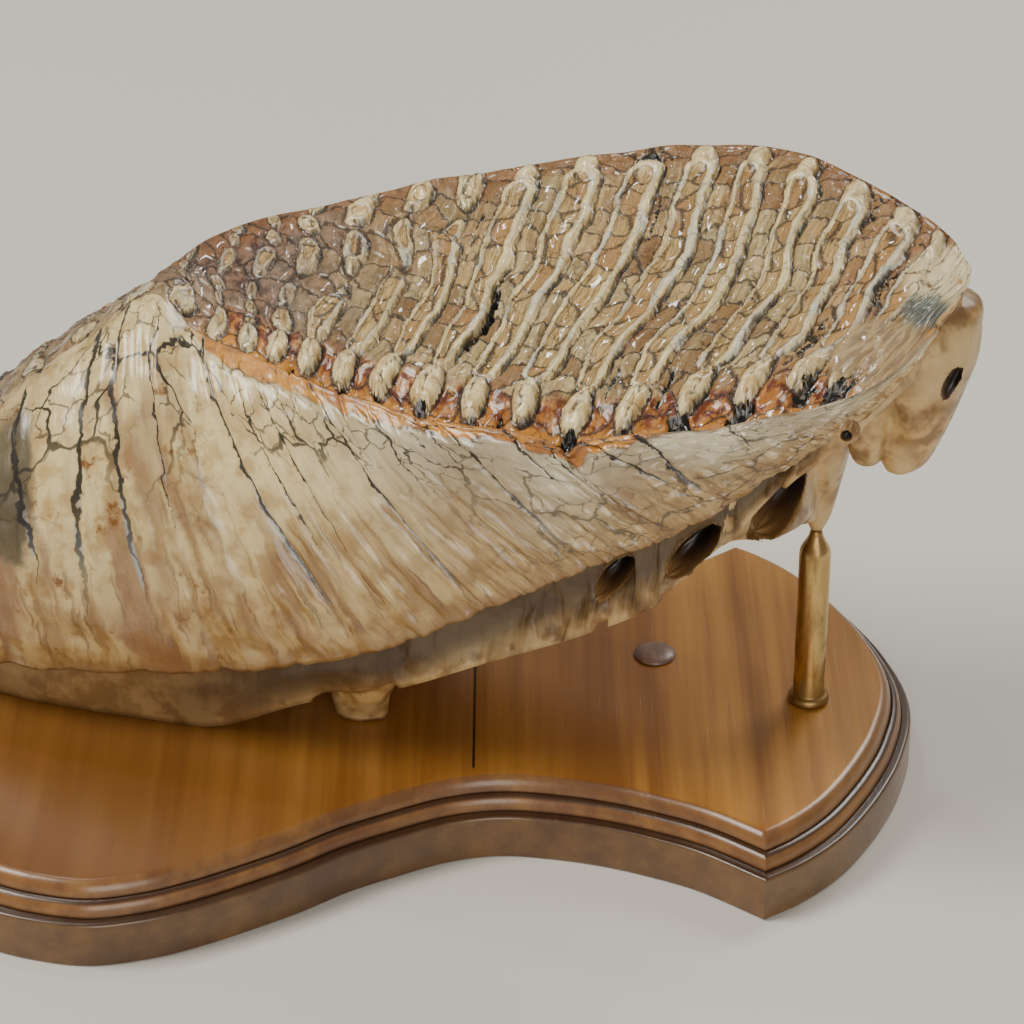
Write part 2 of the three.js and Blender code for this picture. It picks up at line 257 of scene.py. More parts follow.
# The sums that the materials use, by plain names.
times, plus, minus = partial(maths, "MULTIPLY"), partial(maths, "ADD"), partial(maths, "SUBTRACT")
times_plus, over = partial(maths, "MULTIPLY_ADD"), partial(maths, "DIVIDE")
largest, smallest = partial(maths, "MAXIMUM"), partial(maths, "MINIMUM")
size_of, past_whole = partial(maths, "ABSOLUTE"), partial(maths, "FRACT")


def ramp(value, low, high, start=0.0, end=1.0):
    """A smooth step from start to end as the value goes from low to high."""
    inputs = {0: value, 1: low, 2: high, 3: start, 4: end}
    return node_for("ShaderNodeMapRange", inputs, interpolation_type="SMOOTHSTEP").outputs[0]


def mix(share, first, second):
    """The second colour over the first, by the share. A colour may be given as a paint's code."""
    first, second = (paint(colour) if isinstance(colour, int) else colour for colour in (first, second))
    return node_for("ShaderNodeMix", {0: share, 6: first, 7: second}, data_type="RGBA").outputs[2]


def noise(where, scale, detail=3.0, roughness=0.5, distortion=0.0, scaled=(1, 1, 1)):
    """Cloudy noise in space, stretched by the scaling."""
    return node_for("ShaderNodeTexNoise", {
        "Vector": node_for("ShaderNodeMapping", {0: where, 3: scaled}).outputs[0], "Scale": scale,
        "Detail": detail, "Roughness": roughness, "Distortion": distortion,
    }).outputs["Fac"]


def vector_maths(operation, inputs):
    """A Vector Math node's output."""
    return node_for("ShaderNodeVectorMath", inputs, operation=operation).outputs[0]


def flat_noise(where, scale, detail=3.0, roughness=0.5, scaled=(1, 1, 1)):
    """Noise over a flat place: only the first two numbers of the place count."""
    return node_for("ShaderNodeTexNoise", {
        "Vector": vector_maths("MULTIPLY", {0: where, 1: scaled}), "Scale": scale, "Detail": detail,
        "Roughness": roughness,
    }, noise_dimensions="2D").outputs["Fac"]


def axes(where):
    """The three numbers of a place."""
    return node_for("ShaderNodeSeparateXYZ", {0: where}).outputs


def joined_axes(*values):
    """A place put together from up to three numbers."""
    return node_for("ShaderNodeCombineXYZ", dict(enumerate(values))).outputs[0]


def raised(height, strength, distance):
    """The normal of a surface that the height lifts, by at most the distance in metres."""
    inputs = {"Strength": strength, "Distance": distance, "Height": height}
    return node_for("ShaderNodeBump", inputs).outputs[0]


def start_material(name):
    """A new material, its shader, and the places on the piece that its patterns follow."""
    material = bpy.data.materials.new(name)
    material.use_nodes = True
    nodes = material.node_tree.nodes
    return material, nodes["Principled BSDF"], nodes.new("ShaderNodeTexCoord").outputs["Object"]


def start_group(name, inputs, outputs):
    """A new shader node group with named sockets: (name, kind, value) in, (name, kind) out."""
    group = bpy.data.node_groups.new(name, "ShaderNodeTree")
    for label, kind, value in inputs:
        socket = group.interface.new_socket(label, in_out="INPUT", socket_type=f"NodeSocket{kind}")
        if value is not None:
            socket.default_value = value
    for label, kind in outputs:
        group.interface.new_socket(label, in_out="OUTPUT", socket_type=f"NodeSocket{kind}")
    return group, group.nodes.new("NodeGroupInput").outputs, group.nodes.new("NodeGroupOutput")


def wood_grain_group():
    """Grain that runs front to back: long streaks, fine pores and a slow change of tone. It
    puts out the colour, the pores and a height."""
    group, given, result = start_group(
        "wood grain",
        [
            ("Place", "Vector", None),
            ("Light Wood", "Color", paint(0xC08A4E)),
            ("Dark Wood", "Color", paint(0x6E3F1B)),
        ],
        [("Colour", "Color"), ("Pores", "Float"), ("Height", "Float")],
    )
    where = given["Place"]
    broad = noise(where, 26, 3, 0.55, scaled=(1, 0.10, 1))
    streak = noise(where, 150, 3, 0.6, scaled=(1, 0.03, 1))
    pores = noise(where, 900, 2, 0.6, scaled=(1, 0.035, 1))
    share = ramp(times_plus(streak, 0.55, times(broad, 0.55)), 0.38, 0.72)
    colour = mix(share, given["Light Wood"], given["Dark Wood"])
    pits = ramp(pores, 0.60, 0.72)
    colour = mix(times(pits, 0.35), colour, given["Dark Wood"])
    feed(result, {"Colour": colour, "Pores": pits, "Height": minus(streak, pits)})
    return group


wood_grain = wood_grain_group()


def wood_material():
    """Stained hardwood under varnish: golden on top, with painted shadow towards its left end,
    browner on the moulding, greyer and plainer on the side and painted darker there as shade,
    with dark stain left in the grooves."""
    material, shader, where = start_material("varnished wood")
    grain = node_for("ShaderNodeGroup", {
        "Place": where, "Light Wood": paint(0xC08A42), "Dark Wood": paint(0x7A4A1C),
    }, node_tree=wood_grain).outputs
    along, across, height = axes(where)
    cloud = noise(where, 14, 3, 0.5, scaled=(1, 0.5, 1))
    top = mix(ramp(cloud, 0.42, 0.7, 0, 0.4), grain["Colour"], 0x8E5B26)
    # Painted shadow: the top is painted darker over its left half, fading out a little right of the middle,
    # as the shadow the tooth casts there.
    top = mix(ramp(along, 0.0, 0.11, 0.8, 0), top, 0x6A4019)
    # Painted shade: the side is painted darker than the top, as the shade on an upright face lit from
    # above; its greyer tone is the wood's own.
    side = mix(ramp(cloud, 0.35, 0.7), 0x50402F, 0x3F3026)
    side = mix(0.25, side, grain["Colour"])
    beads = mix(0.6, grain["Colour"], 0x5E3F2E)
    colour = mix(ramp(height, 0.0119, 0.0123), side, beads)
    colour = mix(ramp(height, 0.0197, 0.01995), colour, top)
    first, second = (size_of(minus(height, groove)) for groove in GROOVE_HEIGHTS)
    colour = mix(ramp(smallest(first, second), 0.0001, 0.0007, 0.85, 0), colour, 0x2E1B12)
    line = ramp(size_of(minus(along, JOINT_LINE_X)), 0.0002, 0.0005, 0.85, 0)
    line = times(line, ramp(size_of(across), JOINT_LINE_END - 0.0002, JOINT_LINE_END + 0.0001, 1, 0))
    line = times(line, largest(ramp(height, 0.01985, 0.01995), ramp(height, 0.0190, 0.0196, 1, 0)))
    line = times(line, ramp(height, 0.0185, 0.0190))
    colour = mix(line, colour, 0x2B170B)
    feed(shader, {
        "Base Color": colour, "Roughness": ramp(grain["Pores"], 0, 1, 0.30, 0.5), "Coat Weight": 0.35,
        "Coat Roughness": 0.25, "Normal": raised(grain["Height"], 0.12, 0.0004),
    })
    return material


plaque.data.materials.clear()
plaque.data.materials.append(wood_material())
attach(plaque, "root")
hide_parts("plaque")


# The plug: a turned wooden button glued into a drilled hole in the board. Its top is a low
# dome with end grain, greyer than the board because it takes the stain another way.
PLUG_PLACE = (0.1385, 0.012)
PLUG_RADIUS = 0.0055
PLUG_RISE = 0.0016
PLUG_FOOT = 0.0203


def turned(name, profile, centre, sides):
    """A turned piece: a profile of (radius, height) carried round the upright line through the
    centre. Its first and last points lie on that line."""
    radius, height = np.array(profile[1:-1]).T
    angle = np.arange(sides) * 2 * math.pi / sides
    x = centre[0] + radius[:, None] * np.cos(angle)
    y = centre[1] + radius[:, None] * np.sin(angle)
    z = np.repeat(height[:, None], sides, 1)
    points = np.stack([x, y, z], -1).reshape(-1, 3)
    poles = [(*centre, profile[0][1]), (*centre, profile[-1][1])]
    low, high = len(points), len(points) + 1
    last = (len(radius) - 1) * sides
    i = np.arange(sides)
    faces = strip_faces(len(radius), sides).tolist()
    faces += np.stack([(i + 1) % sides, i, np.full(sides, low)], 1).tolist()
    faces += np.stack([last + i, last + (i + 1) % sides, np.full(sides, high)], 1).tolist()
    return make_mesh(name, np.vstack([points, poles]), faces)


lift = np.linspace(0, math.pi / 2, 13)[:-1]
dome = [(PLUG_RADIUS * math.cos(a) ** 0.8, PLUG_FOOT + PLUG_RISE * math.sin(a)) for a in lift]
plug = turned(
    "wooden_plug", [(0, PLUG_FOOT), (PLUG_RADIUS * 0.9, PLUG_FOOT), *dome, (0, PLUG_FOOT + PLUG_RISE)],
    PLUG_PLACE, 48,
)


def plug_material():
    """End grain under a thin varnish: cloudy, with fine pores."""
    material, shader, where = start_material("plug end grain")
    cloud = noise(where, 300, 3, 0.6, scaled=(1, 0.5, 1))
    pores = noise(where, 1500, 2, 0.6)
    colour = mix(ramp(cloud, 0.35, 0.65), 0x86695C, 0x6C5248)
    feed(shader, {
        "Base Color": mix(ramp(pores, 0.55, 0.7, 0, 0.4), colour, 0x4A342B),
        "Roughness": ramp(pores, 0.4, 0.7, 0.38, 0.55), "Coat Weight": 0.3, "Coat Roughness": 0.3,
        "Normal": raised(pores, 0.2, 0.0003),
    })
    return material


plug.data.materials.append(plug_material())
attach(plug, "root")
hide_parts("plug")


# The rod: turned brass, 8 mm thick, pushed into the board with a small collar at its foot. It
# narrows at the top to a blunt point that carries the tooth's front root.
ROD_PLACE = (0.177, -0.0095)
ROD_PROFILE = [
    (0, 20.3), (5.0, 20.3), (5.25, 20.55), (5.3, 21.2), (5.15, 22.0), (4.7, 22.5), (4.1, 22.7),
    (3.98, 23.0), (3.98, 30), (3.98, 40), (3.98, 50), (3.98, 58), (3.99, 63.5), (3.9, 64.6),
    (3.6, 65.6), (2.7, 67.2), (2.0, 68.6), (1.6, 69.8), (1.5, 70.4), (1.1, 70.75), (0, 70.8),
]
rod = turned("brass_support", [(r / 1000, z / 1000) for r, z in ROD_PROFILE], ROD_PLACE, 72)


def brass_material():
    """Old brass: yellow where handled, brown in cloudy patches and near the foot, with faint
    turning lines."""
    material, shader, where = start_material("old brass")
    cloud = noise(where, 90, 4, 0.6, 0.5, scaled=(1, 1, 0.35))
    lines = noise(where, 700, 2, 0.5, scaled=(0.15, 0.15, 1))
    dull = largest(ramp(cloud, 0.42, 0.66), ramp(axes(where)[2], 0.0225, 0.032, 0.7, 0))
    feed(shader, {
        "Base Color": mix(dull, 0xD4B478, 0x7A5A34), "Roughness": ramp(dull, 0, 1, 0.26, 0.48),
        "Metallic": 1.0, "Normal": raised(lines, 0.15, 0.0002),
    })
    return material


rod.data.materials.append(brass_material())
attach(rod, "root")
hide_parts("brass_rod")


# The tooth: a mammoth's molar turned to stone, sealed with clear varnish. It is a row of
# plates of enamel, each a flattened loop round a soft core, set in cement and worn to a
# sloping chewing face at the front. Its roots stand on the board and on the rod's point.
TOOTH_PLACE = (110.3, -6.0)
TOOTH_TURN = math.radians(-14)
REAR_PLATE = -9.0
FRONT_PLATE = 17.6
REST_HEIGHT = 20.3
FINE_FROM_PLATE = -1.5
REAR_RINGS, WORN_RINGS = 56, 322
TOP_POINTS, NEAR_RIM_POINTS, NEAR_RIM_SHARE = 126, 36, 0.2
NEAR_WALL_POINTS, FAR_WALL_POINTS = 46, 28
# The plates' mean spacing on the face and on the near wall, and a cement block's length.
FACE_PLATE_SPACING, WALL_PLATE_SPACING, BLOCK_LENGTH = 11.5, 10.5, 6.8
# The plane of the worn face: its height at the tooth's place, and its slopes.
WORN_HEIGHT, WORN_SLOPE_ALONG, WORN_SLOPE_ACROSS = 135.4, 0.1316, 0.4073


def through(*points):
    """A curve through given (where, value) points. Between two of them it is a cubic,
    whose slope at each is that of the line between the two neighbours."""
    where, value = np.array(points, float).T
    last = len(where) - 1
    here = np.arange(last + 1)
    after, before = np.minimum(here + 1, last), np.maximum(here - 1, 0)
    slope = (value[after] - value[before]) / (where[after] - where[before])

    def curve(x):
        i = np.clip(np.searchsorted(where, x, side="left") - 1, 0, last - 1)
        step = where[i + 1] - where[i]
        t = (x - where[i]) / step
        rise = value[i + 1] - value[i]
        bend = slope[i] * step - rise
        unbend = rise - slope[i + 1] * step
        return value[i] + t * rise + t * (1 - t) * (bend * (1 - t) + unbend * t)

    return curve


# The tooth's lines, in millimetres in its own axes, by the plate's number: the near and the far
# rim of the crown, the foot of its walls, and the underside of the roots. The height of the
# unworn rear goes by the place along the tooth instead.
rim_near_along = through(
    (-9, -204), (-7, -181), (-5, -154), (-3, -128), (-1, -101), (1, -79.5),
    (4, -52), (7, -20.5), (10, 17.5), (13, 56), (15, 75), (17.6, 97.5),
)
rim_near_across = through(
    (-9, -4), (-5, -13), (-2, -10), (-1, -5), (1, -15), (4, -27), (7, -37.5),
    (10, -43.5), (13, -38.5), (15, -33), (16.4, -25), (17.6, -8),
)
rim_far_along = through(
    (-9, -203), (-7, -182), (-5, -157), (-3, -131), (-1, -104), (1, -84),
    (4, -56), (7, -20.5), (10, 24), (13, 65), (15, 89), (17.6, 100),
)
rim_far_across = through(
    (-9, 4), (-5, 12), (-2, 11), (-1, 12), (1, 23), (4, 31), (7, 39.5),
    (10, 45.5), (12, 43), (13.5, 32), (15, 20), (17.6, 6),
)
foot_along = through(
    (-9, -201), (-7, -173), (-5, -144), (-3, -112), (-1, -72), (1, -36),
    (4, -5), (7, 20), (10, 44), (13, 71), (15, 84.5), (17.6, 98),
)
foot_near_across = through(
    (-9, -7), (-8, -19), (-7, -31), (-5, -42), (-3, -46), (4, -45), (10, -43.5),
    (13, -39), (15, -31), (16.4, -22), (17.6, -7),
)
foot_far_across = through(
    (-9, 7), (-8, 19), (-7, 30), (-5, 40), (-3, 44), (4, 45), (10, 43),
    (13, 32), (15, 22), (17.6, 5),
)
foot_height = through(
    (-9, 30), (-7, 33), (-3, 38), (-1, 44), (1, 54), (4, 71), (7, 86),
    (10, 100), (13, 121), (15, 130), (17.6, 145),
)
root_height = through(
    (-9, 25), (-8, 20.3), (-1.5, 20.3), (0, 32), (1, 37), (4, 51),
    (7, 63), (9, 73), (10.5, 86), (12, 104), (13, 113), (15, 124), (17.6, 141),
)
tip_height = through(
    (-206, 40), (-190, 53), (-160, 79), (-130, 104), (-103, 124), (-80, 138),
)


def step_up(low, high, x):
    """0 below low, 1 above high, and a smooth step between."""
    t = np.clip((x - low) / (high - low), 0, 1)
    return t * t * (3 - 2 * t)


def step_down(low, high, x):
    """1 below low, 0 above high, and a smooth step between."""
    return 1 - step_up(low, high, x)


def between(a, b, t):
    """The value at the share t of the way from a to b."""
    return a + (b - a) * t


def ripple(x, y, size, seed):
    """Cloudy unevenness from -1 to 1: eight waves of about the given size, each with its own
    direction and start, added up."""
    draw = np.random.default_rng(seed)
    total = 0
    for _ in range(8):
        way, start, length = draw.uniform(0, 2 * np.pi, 2).tolist() + [draw.uniform(0.6, 1.5)]
        turn = 2 * np.pi / (size * length)
        total = total + np.sin(turn * (x * np.cos(way) + y * np.sin(way)) + start)
    return total / 3.2


def rib_shape(plate):
    """Round ribs with narrow grooves between them, one for each plate."""
    return np.sqrt(np.abs(np.sin(np.pi * plate))) * 1.6 - 1


def stations():
    """The plate numbers at which the tooth is sectioned: even steps along the rear, finer even
    steps along the worn part."""
    plates = np.linspace(REAR_PLATE, FRONT_PLATE, 2000)
    length = np.concatenate([[0], np.cumsum(np.diff(rim_near_along(plates)))])
    worn = np.interp(FINE_FROM_PLATE, plates, length)
    where = np.concatenate([
        np.linspace(0, worn, REAR_RINGS, endpoint=False), np.linspace(worn, length[-1], WORN_RINGS)
    ])
    return np.interp(where, length, plates)[:, None]


def chewing_pattern(plate, t):
    """The worn plates seen from above, in millimetres. Each plate is a loop, long across the
    tooth, with a knob at each end. The first value is the distance outside the loop's outer
    edge, less than 0 inside it. The second is the distance outside its core. The third is 1 on
    a crack across the cement and falls to 0 within 1.2 mm. The others are the distances from
    the near rim and from the far rim, the plate's number and the plates' spacing. The youngest
    plates reach only part of the way, and beyond that they are rows of small rings."""
    pitch = np.gradient(
        (rim_near_along(plate[:, 0]) + rim_far_along(plate[:, 0])) / 2, plate[:, 0]
    )[:, None]
    width = np.hypot(
        rim_far_along(plate) - rim_near_along(plate),
        rim_far_across(plate) - rim_near_across(plate),
    )
    near, far = t * width, (1 - t) * width
    drift = 0.24 + 0.65 * step_up(0.08, 0.6, t) * step_up(2, 6, plate)
    sway = 0.65 * ripple(near, plate * 8, 17, 3) + 0.25 * ripple(near, plate * 16, 6, 4)
    edge = 0.15 * ripple(near, plate * 30, 1.9, 5)
    count = plate - drift + sway / pitch
    number = np.floor(count)
    x = (count - number - 0.5) * pitch
    own = np.sin(number * 7.3)
    full = 0.30 - 0.05 * step_down(14, 26, near)
    half = pitch * (full + 0.02 * own) + edge
    reach = np.interp(number, [0, 1, 2, 3, 4, 5, 6], [0, 11, 18, 26, 36, 52, 200])
    knob_middle = np.interp(
        number, [0, 2, 5, 8, 10, 11, 12, 13, 14], [4.5, 6.2, 8.6, 8.6, 8.8, 12, 13, 14, 12]
    ) + 0.4 * np.sin(number * 4.1)
    knob_long = np.interp(number, [0, 2, 5], [3.4, 4.6, 6.0])
    neck = knob_middle + knob_long
    into_cap = np.maximum.reduce([
        np.maximum(neck + 2.2 - near, 0) * half / 2.2,
        np.maximum(8.5 - far, 0) * half / 2.5,
        np.maximum(near - reach + 3, 0) * half / 3,
    ])
    loop = np.hypot(x, into_cap) - half
    knob_half = np.minimum(3.25 + 0.3 * own, 0.3 * pitch) + edge
    knob = (np.hypot(x / knob_half, (near - knob_middle) / knob_long) - 1) * knob_half
    far_half = np.minimum(2.9 + 0.3 * own, 0.27 * pitch) + edge
    far_knob = (np.hypot(x / far_half, (far - 5.0) / 4.3) - 1) * far_half + 9 * (number < 3)
    thin, broad = 0.12 * pitch, 0.20 * pitch
    core = np.abs(x - (thin - broad) / 2) - (half - (thin + broad) / 2)
    split = np.abs(x + 0.075 * pitch * own + 0.3 * ripple(near, number * 30, 5, 6)) - 0.12
    split = split + 0.25 * step_down(4.0, 6.0, near)
    core = np.where(near < neck + 0.2, split, core) + 3 * step_down(7, 9.5, far)
    loop = np.minimum(np.minimum(loop, knob), far_knob)
    young = number + 1
    cell = np.interp(young, [0, 1, 2, 3, 4, 5], [5.0, 6.0, 7.5, 10, 13, 17])
    shift = 0.37 * young + 0.25 * np.sin(near / cell * 2.1 + young)
    spot = (near / cell + shift) % 1 - 0.5
    ring_half = np.interp(young, [0, 1, 2, 3, 4, 5], [1.5, 1.8, 2.1, 2.4, 2.7, 2.9]) + edge
    ring_half = ring_half * (0.9 + 0.2 * np.sin(number * 5 + np.floor(near / cell + shift) * 2.3))
    ring = (np.hypot(x / ring_half, spot / 0.38) - 1) * ring_half
    beyond = (number < 6) & (near > reach + 1)
    loop = np.where(beyond, np.minimum(loop, ring), loop)
    core = np.where(beyond, ring + 0.32 * ring_half + 0.35, core)
    valley = np.round(count)
    length = 7.5 + 1.2 * np.sin(valley * 3.9)
    along = near / length + 0.2 * np.sin(near / 5.1 + 2.7 * valley) + valley * 0.41
    along = along + 0.06 * (count - valley) * pitch * np.sin(valley * 3.3)
    crossing = np.clip(1 - np.abs((along + 0.5) % 1 - 0.5) * length / 1.2, 0, 1)
    return loop, core, crossing, near, far, count, pitch


def worn_relief(loop, core, crossing, near, far, plate):
    """The height of the worn face over its plane: enamel stands up in round ridges with a
    dished core between, cement blocks lie lower, and grooves run round the plates. At both
    rims each plate ends in a round knob, with the cement sunk between the knobs."""
    band = np.minimum(-loop, core)
    enamel = 0.8 * np.sqrt(np.clip(band / 0.9, 0, 1)) + 0.1 * ripple(near, plate * 25, 3, 8)
    dish = 0.1 * ripple(near, plate * 20, 4, 18) - 0.2 * np.clip(-core / 0.8, 0, 1)
    edge_of_block = np.minimum(np.clip((loop - 0.4) / 1.1, 0, 1), 1 - crossing)
    cement = 0.16 * ripple(near, plate * 14, 7, 9) + 0.75 * np.sqrt(edge_of_block) - 0.55
    relief = np.where(loop < 0, np.where(core < 0, dish, enamel), cement)
    right = step_up(0.45, 0.6, plate - np.floor(plate))
    relief = relief - (0.35 + 0.45 * right) * np.exp(-((loop - 0.35) / 0.45) ** 2)
    inside = np.clip(-loop / 2.8, 0, 1)
    inside = inside * (2 - inside)
    knob = 1.9 * inside * step_down(13.5, 16.5, near)
    sunk = -2.2 * step_down(4.0, 13.0, near) * step_up(-0.2, 2.0, loop)
    far_knob = 1.1 * inside * step_down(8, 10, far)
    far_sunk = -0.9 * step_down(3, 9, far) * step_up(0.0, 1.4, loop)
    relief = relief + (knob + sunk) * step_up(1, 4, plate) + (far_knob + far_sunk) * step_up(2, 5, plate)
    relief = relief * between(0.6, 1, step_up(0, 5, plate))
    return relief * np.clip(np.minimum(near, far) / 0.8, 0, 1) - 0.9 * step_down(0, 4, far)


# Pits and gaps in the chewing face: the plate's number, the distance from the near rim, the
# half width along the tooth, the half length across it, and how open it is: 1 is a deep pit,
# painted near black as the shade inside it, and about a half is a porous patch.
PITS = [
    (6.9, 31, 1.3, 13, 1), (6.52, 2.4, 1.5, 2.8, 1), (9.54, 1.5, 2.8, 2.5, 1),
    (11.46, 4.0, 3.0, 3.0, 1), (12.52, 4.6, 3.4, 3.4, 0.95), (8.1, 3.4, 0.9, 3.4, 1),
    (7.62, 1.8, 1.4, 1.6, 0.8), (10.5, 1.6, 2.2, 1.4, 0.9), (3.1, 1.8, 0.9, 1.8, 1),
    (4.5, 1.6, 1.6, 1.3, 0.8), (5.5, 1.8, 1.8, 1.5, 0.8), (13.7, 7.5, 2.6, 4.6, 0.62),
    (14.5, 5.0, 4.0, 4.2, 0.62), (12.95, 22, 1.6, 9, 0.55), (13.95, 34, 1.5, 8, 0.55),
    (8.5, 84, 4.2, 3.4, 0.8), (12.9, 60, 1.4, 7, 0.5), (10.97, 14, 0.9, 6, 0.7),
    (8.95, 66, 0.7, 10, 0.6), (5.95, 55, 0.7, 12, 0.55), (9.95, 17, 0.7, 8, 0.6),
]


def pit_share(near, plate, pitch):
    """How open the face is at each place: the pit's own openness in its middle, 0 outside."""
    share = 0
    uneven = 0.3 * ripple(near, plate * 12, 3.1, 10)
    for where, rim, half_width, half_length, open_by in PITS:
        far_off = np.hypot((plate - where) * pitch / half_width, (near - rim) / half_length)
        share = np.maximum(share, open_by * step_down(0.7, 1.15, far_off + uneven))
    return share


# The rubbed facet, in millimetres in the tooth's own axes, and in metres on the board the
# middles and sizes of its grey-green patch and of the smooth ivory nose.
FACET_PLACE, FACET_HALF_SIZE = (84, -19), (13, 11)
FACET_PATCH, PATCH_SIZE = (0.1973, -0.0348, 0.1446), 0.0062
NOSE_PLACE, NOSE_SIZE = (0.2035, -0.0260, 0.1480), 0.011


def facet_share(along, across):
    """1 on the smooth rubbed facet at the tooth's front, 0 elsewhere."""
    far_off = np.hypot(
        (along - FACET_PLACE[0]) / FACET_HALF_SIZE[0], (across - FACET_PLACE[1]) / FACET_HALF_SIZE[1]
    )
    return step_down(0.75, 1.1, far_off + 0.12 * ripple(along, across, 7, 12))


# Each wall crack: (plate at the rim, then at a third, two thirds and the foot), the share of
# the wall where it starts and ends, and its half width in millimetres.
WALL_CRACKS = [
    ((-1.75, -2.05, -2.42, -2.5), (0.0, 0.9), 0.55),
    ((-1.35, -1.52, -1.62, -1.6), (0.0, 0.85), 0.5),
    ((-0.55, -0.82, -0.95, -1.0), (0.12, 0.7), 0.32),
    ((0.45, 0.76, 0.95, 1.25), (0.0, 0.95), 0.45),
    ((1.4, 1.55, 1.65, 1.7), (0.2, 0.8), 0.22),
    ((2.2, 2.25, 2.3, 2.3), (0.18, 0.85), 0.25),
    ((3.72, 4.24, 4.1, 3.92), (0.0, 0.97), 0.5),
    ((5.4, 5.6, 5.3, 5.2), (0.1, 0.6), 0.25),
    ((6.2, 6.5, 6.45, 6.4), (0.0, 0.5), 0.2),
    ((7.0, 7.5, 7.4, 7.1), (0.0, 0.97), 0.48),
    ((8.6, 8.7, 8.8, 8.9), (0.0, 0.6), 0.32),
    ((9.3, 9.3, 9.4, 9.5), (0.05, 0.7), 0.22),
    ((9.95, 10.35, 10.75, 10.8), (0.0, 0.75), 0.45),
    ((11.0, 11.15, 10.95, 11.0), (0.03, 0.9), 0.45),
    ((12.6, 12.7, 12.5, 12.4), (0.0, 0.6), 0.35),
    ((-3.15, -3.3, -3.1, -3.1), (0.1, 0.75), 0.6),
    ((-4.4, -4.6, -4.8, -4.9), (0.0, 0.9), 0.5),
    ((-5.9, -6.1, -6.0, -6.2), (0.1, 0.8), 0.4),
]


def wall_crack(plate, down):
    """1 in the middle of a crack down the wall, falling to 0 at three times its half width."""
    near_by = 0
    for places, (start, end), half_width in WALL_CRACKS:
        line = np.interp(down, [0, 1 / 3, 2 / 3, 1], places)
        held = step_up(start - 0.02, start + 0.06, down) * step_down(end - 0.25, end, down)
        reach = 3 * half_width * np.maximum(held, 0.05)
        share = np.clip(1 - np.abs(plate - line) * WALL_PLATE_SPACING / reach, 0, 1)
        near_by = np.maximum(near_by, share * (held > 0))
    return near_by


# How far the amber cement shows below the near rim, by the plate's number.
shelf_depth = through(
    (-9, 0), (-1, 0), (-0.3, 0.2), (0.6, 2.6), (2, 4.6), (3.6, 5.6), (5, 4.2), (6.6, 2.6),
    (9.6, 2.2), (11, 1.0), (12, 0), (17.6, 0),
)


# What the materials read. "down" is 0 on the chewing face, the share of the way to the foot on
# the walls, and elsewhere one of the first three numbers. "crack" is how open a pit is on the
# face, how near a crack is on the walls, and under them how far into the fluted near root wall
# a place lies. "shelf" is the facet's share on the face, and on the walls how far a place lies
# below the amber edge. What means nothing at a place is given one of the last two numbers.
VALUE_NAMES = ("plate", "loop", "core", "near_rim", "far_rim", "down", "crack", "shelf")
UNDERSIDE, FREE_ROOT, HOLLOW = 1.6, 2.0, 3.0
OFF_FACE, OFF_RIM = 9.0, 60.0


